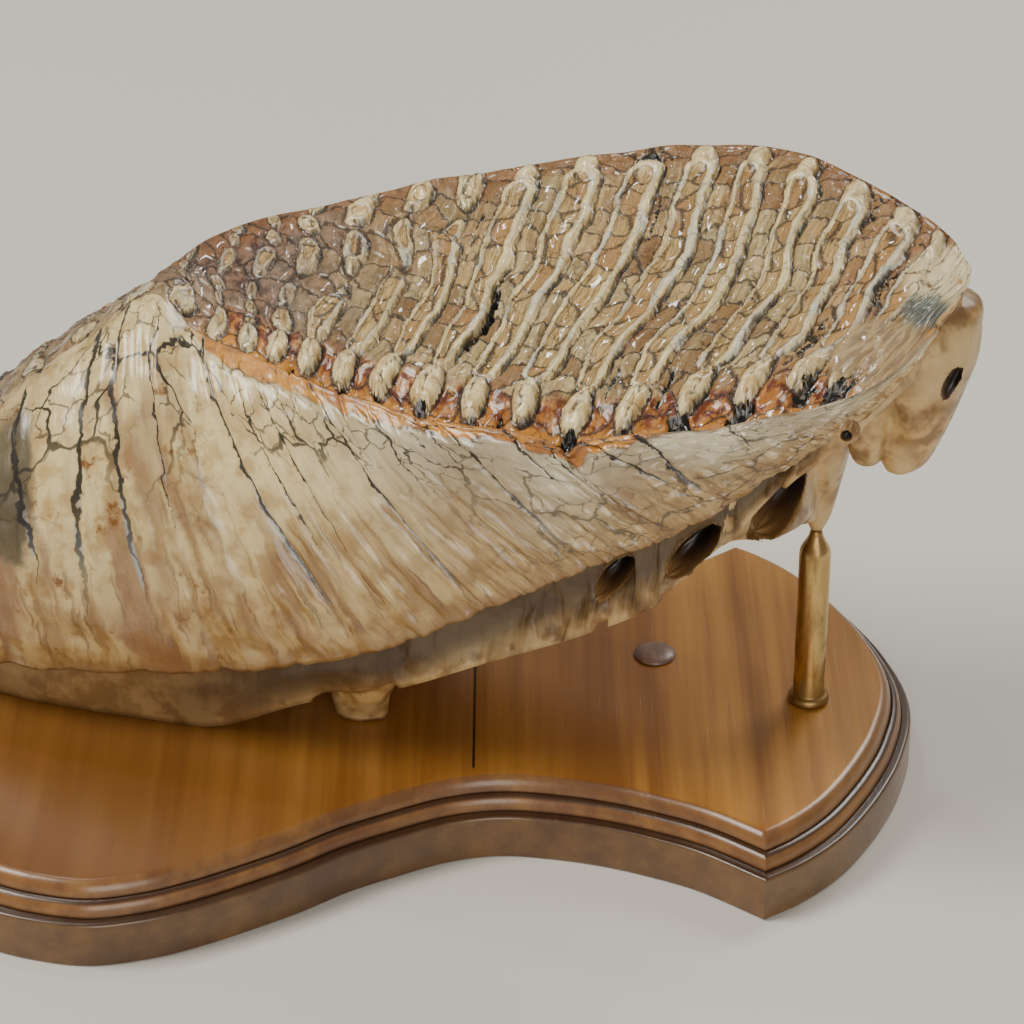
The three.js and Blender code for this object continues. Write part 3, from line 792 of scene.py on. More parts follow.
def tooth_rings():
    """The tooth as rings of points, one ring for each station. A ring goes over the top from the
    near rim, down the far wall, back under the crown and up the near wall. With them come the
    values that the materials read, as arrays of the same size."""
    p = stations()
    t = np.concatenate([
        np.linspace(0, NEAR_RIM_SHARE, NEAR_RIM_POINTS, endpoint=False),
        np.linspace(NEAR_RIM_SHARE, 1, TOP_POINTS - NEAR_RIM_POINTS),
    ])[None, :]
    near_x, near_y = rim_near_along(p), rim_near_across(p)
    far_x, far_y = rim_far_along(p), rim_far_across(p)
    x = between(near_x, far_x, t) + 1.3 * np.sin(7 * t + 0.9 * p) * np.sin(np.pi * t)
    y = between(near_y, far_y, t) + 0 * x
    worn_height = WORN_HEIGHT + WORN_SLOPE_ALONG * x + WORN_SLOPE_ACROSS * y
    unworn_height = tip_height(x) - 0.016 * y * y
    worn = step_up(-2, 0, p)
    loop, core, crossing, near, far, count, pitch = chewing_pattern(p, t)
    facet = facet_share(x, y)
    pits = pit_share(near, count, pitch) * step_up(0, 1, p)
    relief = worn_relief(loop, core, crossing, near, far, count) * (1 - 0.9 * facet)
    relief = relief * (1 - 0.8 * step_up(15.2, 16.4, p))
    relief = relief - 2.8 * pits**2
    knobs = 0.8 * rib_shape(p) + 0.5 * ripple(x, y, 6, 15) + 0.25 * ripple(x, y, 2.4, 16)
    lumps = 0.5 * ripple(x, y, 26, 17)
    face = between(unworn_height, worn_height, worn) + relief
    z = between(unworn_height + knobs, face, step_up(-1.8, 0.2, p)) + lumps * step_down(12, 16, p)
    top = np.stack([x, y, z], -1)

    def wall(rim, foot_x, foot_y, foot_z, side, count_down):
        """One side wall, from under the rim to the foot on a quarter of an ellipse drawn a little
        flatter, with ribs and cracks. With its points come the share of the way down, how near a
        crack is, and the distance from the rim, whole and less the depth of the amber cement."""
        down = np.linspace(0, 1, count_down + 1)[None, 1:]
        angle = down * np.pi / 2
        out, up = np.sin(angle) ** 1.25, np.cos(angle) ** 1.25
        swell = 3.5 * np.sin(np.pi * down) * step_down(12, 17, p)
        rib = 1.2 * rib_shape(p) * between(0.1, 0.9, down) * step_down(8, 15, p)
        rib = rib * between(1, 0.45, step_up(0.75, 1, down))
        along = between(rim[:, :1, 0], foot_x, 1 - up)
        height = between(foot_z, rim[:, :1, 2], up)
        crack = wall_crack(p, down)
        rough = 0.35 * ripple(p * 10, down * 50, 9, 20) + 0.16 * ripple(p * 10, down * 60, 3, 21)
        streak = 0.35 * ripple(p * 11, down * 6, 4, 22) * step_up(0.3, 0.9, down)
        plain = between(rim[:, :1, 1], foot_y, out)
        drop = np.hypot(height - rim[:, :1, 2], plain - rim[:, :1, 1])
        shelf = shelf_depth(p) if side < 0 else 3.5 * step_up(0, 4, p) * step_down(12, 14, p)
        level = 0 * down
        shelf = shelf * (1 + 0.25 * ripple(p * 12, level, 23, 23) + 0.12 * ripple(p * 12, level, 5, 24))
        recess = -0.8 * step_down(shelf - 1.0, shelf + 1.0, drop) * step_up(0.2, 1.2, drop)
        across = plain + side * (
            swell + rib * np.minimum(1, 4 * down)
            + (rough + streak) * np.minimum(1, 6 * down) * step_down(14, 17, p)
            + recess * step_up(0, 1, shelf) - 1.1 * step_up(0.25, 1, crack)
        )
        return np.stack([along, across, height], -1), down + 0 * p, crack, drop, drop - shelf

    lobe = 0.5 * rib_shape(p) * step_down(12, 16, p)
    foot = foot_along(p)
    bottom = foot_height(p) - lobe
    near_foot, far_foot = foot_near_across(p), foot_far_across(p)
    far_wall, far_down, far_crack, far_drop, far_shelf = wall(
        top[:, -1:], foot, far_foot, bottom + 4, 1, FAR_WALL_POINTS
    )
    near_wall, near_down, near_crack, near_drop, near_shelf = (
        part[:, ::-1] for part in wall(top[:, :1], foot, near_foot, bottom, -1, NEAR_WALL_POINTS)
    )

    # From the far foot back to the near one: in to the roots, round the far root's foot, over the
    # arch, round the near root's foot and up its fluted outer wall. The marks say which point of
    # the section each corner is. The points between lie on straight lines, later made uneven.
    under = np.minimum(8, 0.35 * (far_foot - near_foot))
    rest = np.maximum(REST_HEIGHT, root_height(p))
    ceiling = np.maximum(rest, foot_height(p) - 4)
    arch = between(rest, ceiling, step_up(-1.2, 0.5, p))
    inner_near, inner_far = near_foot + under, far_foot - under
    thick = np.minimum(16, 0.2 * (inner_far - inner_near))
    flute = 5.0 * step_up(1.5, 5, p) * step_down(11.5, 13.5, p)
    corners_across = np.concatenate([
        far_foot, inner_far, inner_far - 1.5, inner_far - thick, inner_far - 1.7 * thick,
        inner_near + 1.7 * thick, inner_near + thick, inner_near + 1.0,
        inner_near + 0.4 + 0.5 * flute, inner_near + flute, inner_near + 0.8 * flute, inner_near,
        near_foot,
    ], 1)
    tall = bottom + 1 - rest
    corners_height = np.concatenate([
        bottom + 4, bottom + 5, rest, rest, arch, arch, rest, rest, rest + 0.18 * tall,
        rest + 0.45 * tall, rest + 0.75 * tall, bottom + 1, bottom,
    ], 1)
    marks = np.array([0, 3, 7, 9, 11, 15, 17, 19, 21, 23, 25, 27, 29])
    spots = np.arange(1, marks[-1])[None, :]
    i = np.searchsorted(marks, spots[0], side="right") - 1
    share = (spots - marks[i]) / (marks[i + 1] - marks[i])
    across = between(corners_across[:, i], corners_across[:, i + 1], share)
    height = between(corners_height[:, i], corners_height[:, i + 1], share)
    recess = step_up(19, 23, spots) * step_down(25.5, 28.5, spots)
    recess = recess * step_up(-3, 0, p) * step_down(12, 14, p)
    uneven = 0.7 * ripple(p * 10, spots * 3.0, 14, 30) + 0.3 * ripple(p * 10, spots * 3.0, 5, 31)
    uneven = uneven * step_up(0, 3, height - REST_HEIGHT)
    underside = np.stack([foot + uneven, across + uneven, height], -1)

    points = np.concatenate([top, far_wall, underside, near_wall], 1)
    sizes = (near, far_down, across, near_down)
    values = {
        "plate": [count, p, p, p],
        "loop": [loop, OFF_FACE, OFF_FACE, OFF_FACE],
        "core": [core, OFF_FACE, OFF_FACE, OFF_FACE],
        "near_rim": [near, far_drop, OFF_RIM, near_drop],
        "far_rim": [far, far_drop, OFF_RIM, near_drop],
        "down": [0, far_down, UNDERSIDE, near_down],
        "crack": [pits, far_crack, recess, near_crack],
        "shelf": [facet, far_shelf, OFF_FACE, near_shelf],
    }
    values = {
        key: np.concatenate([part + 0 * size for part, size in zip(parts, sizes)], 1)
        for key, parts in values.items()
    }
    return points, values


def close_ends(points, values):
    """Rounds off the rear and the front: three more rings at each end, each smaller and a little
    further out, and then a point."""
    rings, middles = [], []
    for end, inwards in ((0, 1), (-1, -2)):
        ring = points[end]
        middle = ring.mean(0)
        way = middle - points[inwards].mean(0)
        way = way / np.linalg.norm(way)
        steps = ((0.93, 0.5), (0.75, 1.0), (0.4, 1.3))
        rings.append([middle + (ring - middle) * size + way * out for size, out in steps])
        middles.append(middle + way * 1.4)
    points = np.concatenate([np.stack(rings[0][::-1]), points, np.stack(rings[1])], 0)
    values = {
        key: np.concatenate([value[:1].repeat(3, 0), value, value[-1:].repeat(3, 0)], 0)
        for key, value in values.items()
    }
    return points, values, middles


def to_board(points):
    """From the tooth's own axes, in millimetres, to the board's, in metres: a turn about the
    upright line through the tooth's place, and then the move there."""
    c, s = math.cos(TOOTH_TURN), math.sin(TOOTH_TURN)
    x = TOOTH_PLACE[0] + points[:, 0] * c - points[:, 1] * s
    y = TOOTH_PLACE[1] + points[:, 0] * s + points[:, 1] * c
    return np.stack([x, y, points[:, 2]], 1) / 1000


def give_values(mesh, values):
    """Stores the values on the faces' corners, where a cut through a face still finds them."""
    corner = np.empty(len(mesh.loops), int)
    mesh.loops.foreach_get("vertex_index", corner)
    for name in VALUE_NAMES:
        attribute = mesh.attributes.new(name, "FLOAT", "CORNER")
        attribute.data.foreach_set("value", values[name][corner].astype(np.float32))


def lofted(name, points, values, middles):
    """Rings joined into a closed skin, with a fan to the middle at each end."""
    count, around = points.shape[:2]
    quads = strip_faces(count, around)[:, ::-1]
    i = np.arange(around)
    rear = np.stack([i, (i + 1) % around, np.full(around, count * around)], 1)
    base = (count - 1) * around
    front = np.stack([base + (i + 1) % around, base + i, np.full(around, count * around + 1)], 1)
    flat = np.vstack([points.reshape(-1, 3), np.array(middles)])
    piece = make_mesh(name, to_board(flat), quads.tolist() + rear.tolist() + front.tolist())
    at_ends = {key: [value[0].mean(), value[-1].mean()] for key, value in values.items()}
    flat_values = {key: np.concatenate([values[key].reshape(-1), at_ends[key]]) for key in values}
    give_values(piece.data, flat_values)
    return piece


crown_points, crown_values = tooth_rings()
tooth = lofted("fossil_tooth", *close_ends(crown_points, crown_values))


def plain_values(shape, zone):
    """The values of a piece that is near no rim and no plate."""
    values = {key: np.full(shape, OFF_FACE) for key in VALUE_NAMES}
    for key, value in (("crack", 0.0), ("down", zone), ("near_rim", OFF_RIM), ("far_rim", OFF_RIM)):
        values[key][:] = value
    return values


def root(name, rings, sides=40, steps=26):
    """A free root: an ellipse that changes in place and size from ring to ring, each given as
    (along, across, height, half length, half width), on smooth curves through the rings."""
    rings = curve_through(rings, steps)
    angle = np.arange(sides)[None, :] * 2 * np.pi / sides
    seed = int(abs(rings[0, 0] * 10)) + 40
    along, across, height, half_length, half_width = rings.T[..., None]
    uneven = 0.06 * ripple(height, angle * 6, 11, seed) + 0.025 * ripple(height, angle * 9, 4, seed + 1)
    uneven = 1 + uneven * np.abs(np.sin(angle)) * step_up(0, 6, half_length)
    x = along + half_length * np.cos(angle) * uneven
    y = across + half_width * np.sin(angle) * uneven
    points = np.stack([x, y, height + 0 * x], -1)[::-1]
    values = plain_values(x.shape, FREE_ROOT)
    values["plate"][:] = 5.0
    return lofted(name, points, values, [points[0].mean(0), points[-1].mean(0)])


# The free roots, each from the ring at its tip up to the ring inside the crown.
ROOTS = {
    "front root": [
        (86, 6, 95, 2, 3), (86.8, 6, 97, 5, 7), (87.5, 6, 101, 7, 9), (89.3, 7, 113, 9.8, 14),
        (91.2, 7, 127, 12.0, 17), (91.2, 6, 135, 12.3, 16), (91.2, 5, 141, 12.0, 11), (90, 5, 144, 9, 6),
    ],
    "rod root": [
        (65.6, 12.7, 71.1, 1.6, 1.6), (65.8, 12.2, 76, 3.4, 3.6), (66.4, 10, 86, 5, 6),
        (67, 6, 98, 7, 9), (67.5, 2, 110, 9, 13), (67.5, 0, 124, 11, 16),
    ],
    "hanging lobe": [
        (64, 10, 76, 1.5, 2), (63, 8.5, 77.5, 3.8, 5.5), (60.5, 5, 81, 6, 10), (55, -5, 88, 12, 22),
        (52, -5, 97, 14, 25), (50, -4, 117.3, 16.6, 27.4),
    ],
    "middle root": [(79, 0, 99, 3, 4), (79, 0, 106, 5.5, 8), (79, 0, 128, 7, 14)],
    "short root": [
        (-44, -20, 20.3, 7, 5), (-43, -23.5, 28, 7.5, 6), (-40, -28.5, 40, 10, 6.6),
        (-37, -30.3, 54, 12.5, 7.2), (-36, -30, 60, 12, 7),
    ],
}
# A small stub of bone under the front rim with an open canal in it, and each hollow that opens
# into the pulp cavity: (along, across, height), (half length, depth, half height), and how far
# it leans forwards in degrees.
STUBS = [((78.8, -34.6, 125.6), (2.7, 3.4, 2.9), 10)]
HOLLOWS = [
    ((78.8, -38.2, 125.6), (1.5, 2.6, 1.6), 10),
    ((24.0, -33, 77.0), (2.9, 11, 7.5), 36),
    ((43.0, -32, 86.5), (3.1, 11, 9.5), 40),
    ((61.5, -20, 97), (5.6, 15, 11.5), 32),
    ((99, -9, 125), (2.6, 7, 6.0), 16),
    ((62, -39, 112.5), (2.3, 7, 2.8), 25),
]


def egg(name, place_at, size, lean, zone=HOLLOW, steps=28, sides=44):
    """An egg shape: a ball stretched along its three axes, leaned forwards. It cuts a hollow, or
    with another zone it adds a stub of bone. Its core value says how far in a place lies."""
    rise = np.linspace(-1, 1, steps)[1:-1, None] * np.pi / 2
    angle = np.arange(sides)[None, :] * 2 * np.pi / sides
    inwards = np.cos(rise) * np.sin(angle)
    ball = np.stack([np.cos(rise) * np.cos(angle), inwards, np.sin(rise) + 0 * angle])
    x, y, z = ball * (1 + 0.05 * ripple(angle * 3, rise * 3, 2.5, 60)) * np.reshape(size, (3, 1, 1))
    c, s = math.cos(math.radians(lean)), math.sin(math.radians(lean))
    points = (np.stack([x * c + z * s, y, z * c - x * s], -1) + np.array(place_at))[::-1]
    values = plain_values(points.shape[:2], zone)
    values["core"][:] = inwards[::-1]
    tip = np.array([size[2] * s, 0, size[2] * c])
    return lofted(name, points, values, [np.array(place_at) + tip, np.array(place_at) - tip])


def spots_of(mesh):
    """The mesh's points as whole numbers of micrometres, so that equal points compare equal."""
    points = np.empty(len(mesh.vertices) * 3, np.float32)
    mesh.vertices.foreach_get("co", points)
    return np.round(points.reshape(-1, 3).astype(float) * 1e6).astype(np.int64) @ (1, 10**7, 10**14)


def join_by(piece, tools, operation, rounds):
    """Adds or takes away the tools' solids, one after another, and removes the tools. The new
    points lie along the seams: they and their neighbours are then evened out a few times, as
    bone rounds over where two parts meet."""
    known = np.concatenate([spots_of(thing.data) for thing in (piece, *tools)])
    for tool in tools:
        join = piece.modifiers.new(tool.name, "BOOLEAN")
        join.operation, join.solver, join.object = operation, "MANIFOLD", tool
    apply_modifiers(piece)
    for tool in tools:
        bpy.data.objects.remove(tool)
    tidy_mesh(piece, 4e-6)
    fresh = ~np.isin(spots_of(piece.data), known)
    work = bmesh.new()
    work.from_mesh(piece.data)
    work.verts.ensure_lookup_table()
    chosen = {work.verts[i] for i in np.flatnonzero(fresh)}
    for _ in range(3):
        chosen |= {edge.other_vert(vert) for vert in list(chosen) for edge in vert.link_edges}
    for _ in range(rounds):
        bmesh.ops.smooth_vert(
            work, verts=list(chosen), factor=0.5, use_axis_x=True, use_axis_y=True, use_axis_z=True
        )
    work.to_mesh(piece.data)
    work.free()


join_by(tooth, [root(name, rings) for name, rings in ROOTS.items()], "UNION", 8)
join_by(tooth, [egg(f"stub {i}", *given, zone=FREE_ROOT) for i, given in enumerate(STUBS)], "UNION", 2)
join_by(tooth, [egg(f"hollow {i}", *given) for i, given in enumerate(HOLLOWS)], "DIFFERENCE", 4)


def reading(shader, name):
    """One of the stored values, as the material reads it."""
    node = shader.id_data.nodes.new("ShaderNodeAttribute")
    node.attribute_name = name
    return node.outputs["Fac"]


def fine_cracks_group():
    """A net of fine dark cracks: the borders of cells, bent by noise. It puts out how dark each
    point is."""
    group, given, result = start_group(
        "fine cracks",
        [
            ("Place", "Vector", None), ("Cells", "Float", 100.0), ("Width", "Float", 0.04),
            ("Bend", "Float", 1.0),
        ],
        [("Dark", "Float")],
    )
    where = vector_maths("SCALE", {0: given["Place"], 3: given["Cells"]})
    wander = node_for("ShaderNodeTexNoise", {
        "Vector": where, "Scale": 1.3, "Detail": 3.0, "Roughness": 0.62,
    }, noise_dimensions="2D").outputs["Color"]
    middle = vector_maths("SUBTRACT", {0: wander, 1: (0.5, 0.5, 0.5)})
    where = vector_maths("ADD", {0: where, 1: vector_maths("SCALE", {0: middle, 3: given["Bend"]})})
    cells = node_for("ShaderNodeTexVoronoi", {
        "Vector": where, "Scale": 1.0,
    }, feature="DISTANCE_TO_EDGE", voronoi_dimensions="2D").outputs["Distance"]
    fade = node_for("ShaderNodeTexNoise", {
        "Vector": where, "Scale": 0.45, "Detail": 1.0,
    }, noise_dimensions="2D").outputs["Fac"]
    wide = times(given["Width"], ramp(fade, 0.42, 0.62, 0.02, 1.5))
    feed(result, {"Dark": ramp(over(cells, wide), 0.4, 1.0, 1, 0)})
    return group


fine_cracks = fine_cracks_group()


def crack_net(where, cells, width, bend):
    """The dark share that the fine cracks group gives."""
    inputs = {"Place": where, "Cells": cells, "Width": width, "Bend": bend}
    return node_for("ShaderNodeGroup", inputs, node_tree=fine_cracks).outputs["Dark"]


def spot_at(where, middle, size):
    """The distance from a place on the piece, in sizes."""
    away = node_for("ShaderNodeVectorMath", {0: where, 1: middle}, operation="DISTANCE")
    return over(away.outputs["Value"], size)


def breaks_in(skin, scale):
    """A slow noise that lets a dark line fade out and come back."""
    return ramp(flat_noise(skin, scale, 2), 0.38, 0.6, 0.2, 1)


def worn_face_material():
    """The chewing face: pale enamel with bluish stretches round tan cores, khaki cement blocks
    parted by dark cracks, mahogany and amber cement round the knobs at the near rim, a brown
    rear corner where the plates only begin to wear, and a rubbed grey facet at the front."""
    material, shader, where = start_material("chewing face")
    loop, core, near, far, plate, pits, facet = (
        reading(shader, name) for name in ("loop", "core", "near_rim", "far_rim", "plate", "crack", "shelf")
    )
    nose = ramp(spot_at(where, NOSE_PLACE, NOSE_SIZE), 0.7, 1.15, 1, 0)
    skin = joined_axes(times(plate, FACE_PLATE_SPACING), near)
    fine = flat_noise(skin, 1.4, 3, 0.6)
    medium = flat_noise(skin, 0.33, 3, 0.55)
    broad = flat_noise(skin, 0.07, 2, 0.5)
    grain = flat_noise(skin, 1.0, 3, 0.62, scaled=(2.4, 0.18, 1))
    stretch = flat_noise(skin, 1.0, 2, 0.5, scaled=(0.3, 0.085, 1))
    teeth = flat_noise(skin, 1.0, 2, 0.5, scaled=(0.5, 0.8, 1))
    cell_x = times_plus(fine, 0.10, plate)
    cell_y = times_plus(medium, 0.45, over(near, BLOCK_LENGTH))
    cell_inputs = {"Vector": joined_axes(plus(cell_x, 0.45), cell_y), "Scale": 1.0, "Randomness": 0.8}
    cells, borders = (
        node_for("ShaderNodeTexVoronoi", cell_inputs, voronoi_dimensions="2D", feature=feature).outputs
        for feature in ("F1", "DISTANCE_TO_EDGE")
    )
    borders = borders["Distance"]
    tone, hue, rare = node_for("ShaderNodeSeparateColor", {0: cells["Color"]}).outputs
    bands = flat_noise(skin, 1.0, 2, 0.5, scaled=(0.85, 0.05, 1))

    uneven_edge = times_plus(fine, 0.5, times_plus(teeth, 0.6, -0.55))
    loop_edge = plus(loop, uneven_edge)
    core_edge = times_plus(uneven_edge, 0.6, core)
    outside = ramp(loop_edge, 0.0, 0.2)
    inside = minus(1.0, outside)
    depth = smallest(times(loop_edge, -1.0), core_edge)

    enamel = mix(ramp(grain, 0.40, 0.64), 0xF8E2A6, 0xC6A668)
    enamel = mix(ramp(stretch, 0.54, 0.64, 0, 0.7), enamel, 0xC6CCC6)
    enamel = mix(ramp(bands, 0.48, 0.56, 0, 0.55), enamel, 0x86683E)
    enamel = mix(ramp(fine, 0.54, 0.74, 0, 0.45), enamel, 0x8E7F66)
    # Painted highlight: the enamel is painted paler towards the crest, deep inside each band.
    enamel = mix(ramp(depth, 0.3, 1.0, 0, 0.4), enamel, 0xFAECC0)
    cores = mix(ramp(grain, 0.40, 0.62), 0xC4A66C, 0x947444)
    cores = mix(ramp(hue, 0.66, 0.74, 0, 0.6), cores, 0xA0703A)
    cement = mix(tone, 0xCBB47E, 0x8C7648)
    cement = mix(ramp(hue, 0.64, 0.72, 0, 0.8), cement, 0xBC965C)
    cement = mix(ramp(bands, 0.54, 0.62, 0, 0.55), cement, 0x7C5A36)
    cement = mix(ramp(bands, 0.36, 0.44, 0.5, 0), cement, 0xD8C190)
    cement = mix(ramp(rare, 0.74, 0.82, 0, 0.7), cement, 0x7A5028)
    cement = mix(ramp(medium, 0.42, 0.66, 0, 0.5), cement, 0x8D7650)

    young = ramp(plate, 1.0, 6.5, 1, 0)
    young = times(young, ramp(near, 6, 20, 0.45, 1))
    brown = mix(ramp(medium, 0.4, 0.62), 0x85654E, 0x4C352B)
    brown = mix(ramp(broad, 0.45, 0.7, 0, 0.5), brown, 0x8C7A6E)
    cement = mix(young, cement, brown)
    enamel = mix(times(young, 0.6), enamel, 0x93826F)
    old = ramp(plate, 11.8, 13.6)
    rust = mix(ramp(hue, 0.4, 0.6), 0xC09562, 0x86502A)
    rust = mix(ramp(rare, 0.6, 0.7, 0, 0.8), rust, 0xB98C4C)
    cement = mix(times(old, 0.7), cement, rust)
    cores = mix(times(old, 0.5), cores, 0xBF8C4C)
    enamel = mix(times(old, 0.4), enamel, 0xC2C2BA)

    colour = mix(ramp(core_edge, -0.12, 0.12), cores, enamel)
    colour = mix(outside, colour, cement)
    inner_line = ramp(size_of(core_edge), 0.04, 0.26, 0.65, 0)
    inner_line = times(inner_line, inside)
    colour = mix(inner_line, colour, 0x5C4026)
    # Painted shade: the cement is painted dark brown for about a millimetre outside each plate's edge, at
    # the foot of the enamel ridge.
    foot = times(ramp(loop_edge, 0.1, 1.0, 0.65, 0), outside)
    colour = mix(foot, colour, 0x543820)

    knob_end = ramp(plate, 10.6, 11.2, 13.0, 18.5)
    near_knob = ramp(minus(near, knob_end), -2.5, 0.5, 1, 0)
    knob = largest(near_knob, ramp(far, 7.5, 9.5, 1, 0))
    knob = times(times(knob, inside), ramp(plate, 0.5, 3))
    cream = mix(ramp(medium, 0.4, 0.65), 0xF4E0AA, 0xCFAE72)
    cream = mix(ramp(grain, 0.52, 0.66, 0, 0.25), cream, 0x9A7444)
    colour = mix(times(knob, 0.85), colour, cream)
    split = times(knob, ramp(inner_line, 0.2, 0.6, 0, 0.75))
    colour = mix(split, colour, 0x5F4124)

    red = mix(ramp(medium, 0.42, 0.58), 0x6C3216, 0xAD6F2E)
    near_cement = mix(ramp(near, 1.5, 5.5), 0xC4842E, red)
    near_cement = mix(ramp(loop_edge, 0.1, 1.3, 0.75, 0), near_cement, 0x35190C)
    uneven_near = times_plus(medium, 9.0, minus(near, 4.5))
    in_near = times(ramp(uneven_near, 8.5, 14.0, 1, 0), outside)
    in_near = times(in_near, ramp(plate, -0.3, 1.0))
    colour = mix(in_near, colour, near_cement)
    uneven_far = times_plus(broad, 14.0, minus(far, 7.0))
    in_far = times(ramp(uneven_far, 4.0, 9.0, 0.75, 0), outside)
    colour = mix(in_far, colour, mix(medium, 0xA06A38, 0x5A371E))

    right = ramp(past_whole(plate), 0.45, 0.6)
    gap = size_of(minus(loop_edge, 0.26))
    gap = over(gap, ramp(right, 0, 1, 0.75, 1.7))
    gap = times(ramp(gap, 0.14, 0.46, 1, 0), breaks_in(skin, 0.15))
    gap = times(gap, ramp(right, 0, 1, 0.75, 1))
    cracks = ramp(borders, 0.014, 0.06, 1, 0)
    cracks = times(cracks, ramp(depth, 0.1, 0.5, 0.9, 0.25))
    net = crack_net(skin, 0.28, 0.04, 0.7)
    grooves = largest(gap, cracks)
    dark = largest(grooves, times(net, 0.6))
    unrubbed = minus(1.0, largest(facet, nose))
    dark = times(dark, ramp(unrubbed, 0, 1, 0.12, 0.9))
    colour = mix(dark, colour, 0x1D130C)

    grey = mix(ramp(medium, 0.4, 0.6), 0xA88D60, 0x806849)
    ivory = mix(medium, 0xECDDB4, 0xCDB98C)
    ivory = mix(largest(cracks, net), ivory, 0x5A4430)
    colour = mix(times(nose, 0.9), colour, ivory)
    colour = mix(times(facet, 0.92), colour, grey)
    patch = times_plus(medium, 0.8, spot_at(where, FACET_PATCH, PATCH_SIZE))
    patch = ramp(patch, 1.0, 1.5, 0.92, 0)
    shards = ramp(flat_noise(skin, 0.62, 2, 0.5), 0.60, 0.66)
    slate = mix(medium, 0x6C756C, 0x3C423C)
    colour = mix(patch, colour, mix(shards, slate, 0xB9BCB6))
    # Painted shade: the pits and pores are painted near black, flecked with grey, as the shade inside them.
    open_by = times_plus(fine, 0.5, times_plus(medium, 0.4, -0.45))
    pit_shade = ramp(plus(pits, open_by), 0.42, 0.58)
    pit_colour = mix(shards, 0x0F0C0B, 0x6F6B65)
    colour = mix(pit_shade, colour, pit_colour)
    rough = smallest(ramp(fine, 0.3, 0.7, 0.2, 0.42), ramp(pit_shade, 0, 1, 0.5, 0.12))
    height = times_plus(grooves, -1.1, medium)
    height = times_plus(grain, ramp(near_knob, 0, 1, 0.9, 0.1), height)
    pillow = times(ramp(borders, 0.0, 0.16), outside)
    height = times_plus(pillow, 0.7, height)
    height = times(height, ramp(unrubbed, 0, 1, 0.15, 1))
    feed(shader, {
        "Base Color": colour, "Roughness": rough, "Coat Weight": 0.6, "Coat Roughness": 0.08,
        "Normal": raised(height, 0.6, 0.0006),
    })
    return material


def long_crack_group():
    """One long crack down the wall. Its line starts at a plate number at the rim, and moves by
    given steps over each third of the way down, where the wander bends it a little. It puts
    out how dark each point is."""
    group, given, result = start_group(
        "long crack",
        [
            ("Plate", "Float", 0.0), ("Thirds", "Vector", None), ("Down", "Float", 0.0),
            ("At Rim", "Float", 0.0), ("Steps", "Vector", None), ("Start", "Float", 0.0),
            ("End", "Float", 1.0), ("Half Width", "Float", 0.4),
        ],
        [("Dark", "Float")],
    )
    moved = node_for(
        "ShaderNodeVectorMath", {0: given["Thirds"], 1: given["Steps"]}, operation="DOT_PRODUCT"
    ).outputs["Value"]
    away = size_of(minus(given["Plate"], plus(given["At Rim"], moved)))
    opens = ramp(minus(given["Down"], given["Start"]), -0.02, 0.06)
    closes = ramp(minus(given["End"], given["Down"]), 0.0, 0.25)
    held = times(times(opens, closes), given["Half Width"])
    share = over(times(away, WALL_PLATE_SPACING), plus(held, 0.001))
    feed(result, {"Dark": ramp(share, 0.6, 1.15, 1, 0)})
    return group


long_crack = long_crack_group()


def long_cracks(plate, down, fine, medium):
    """The dark of all the wall's long cracks together, with a fine wander in their lines."""
    wander = times_plus(fine, 0.07, times_plus(medium, 0.36, -0.215))
    bent = plus(plate, wander)
    thirds = joined_axes(*(maths("MULTIPLY_ADD", down, 3.0, float(-i), clamp=True) for i in range(3)))
    dark = 0.0
    for places, (start, end), half_width in WALL_CRACKS:
        one = node_for("ShaderNodeGroup", {
            "Plate": bent, "Thirds": thirds, "Down": down, "At Rim": places[0],
            "Steps": np.diff(places).tolist(), "Start": start, "End": end, "Half Width": half_width,
        }, node_tree=long_crack)
        dark = largest(dark, one.outputs["Dark"])
    return dark


# The near wall's height in metres, and the dark patch at its rear: (plate, twice the share of
# the way down), and its size in plates.
WALL_DROP = 0.065
DIRT_PLACE, DIRT_SIZE = (-3.45, 0.76, 0.0), 0.55


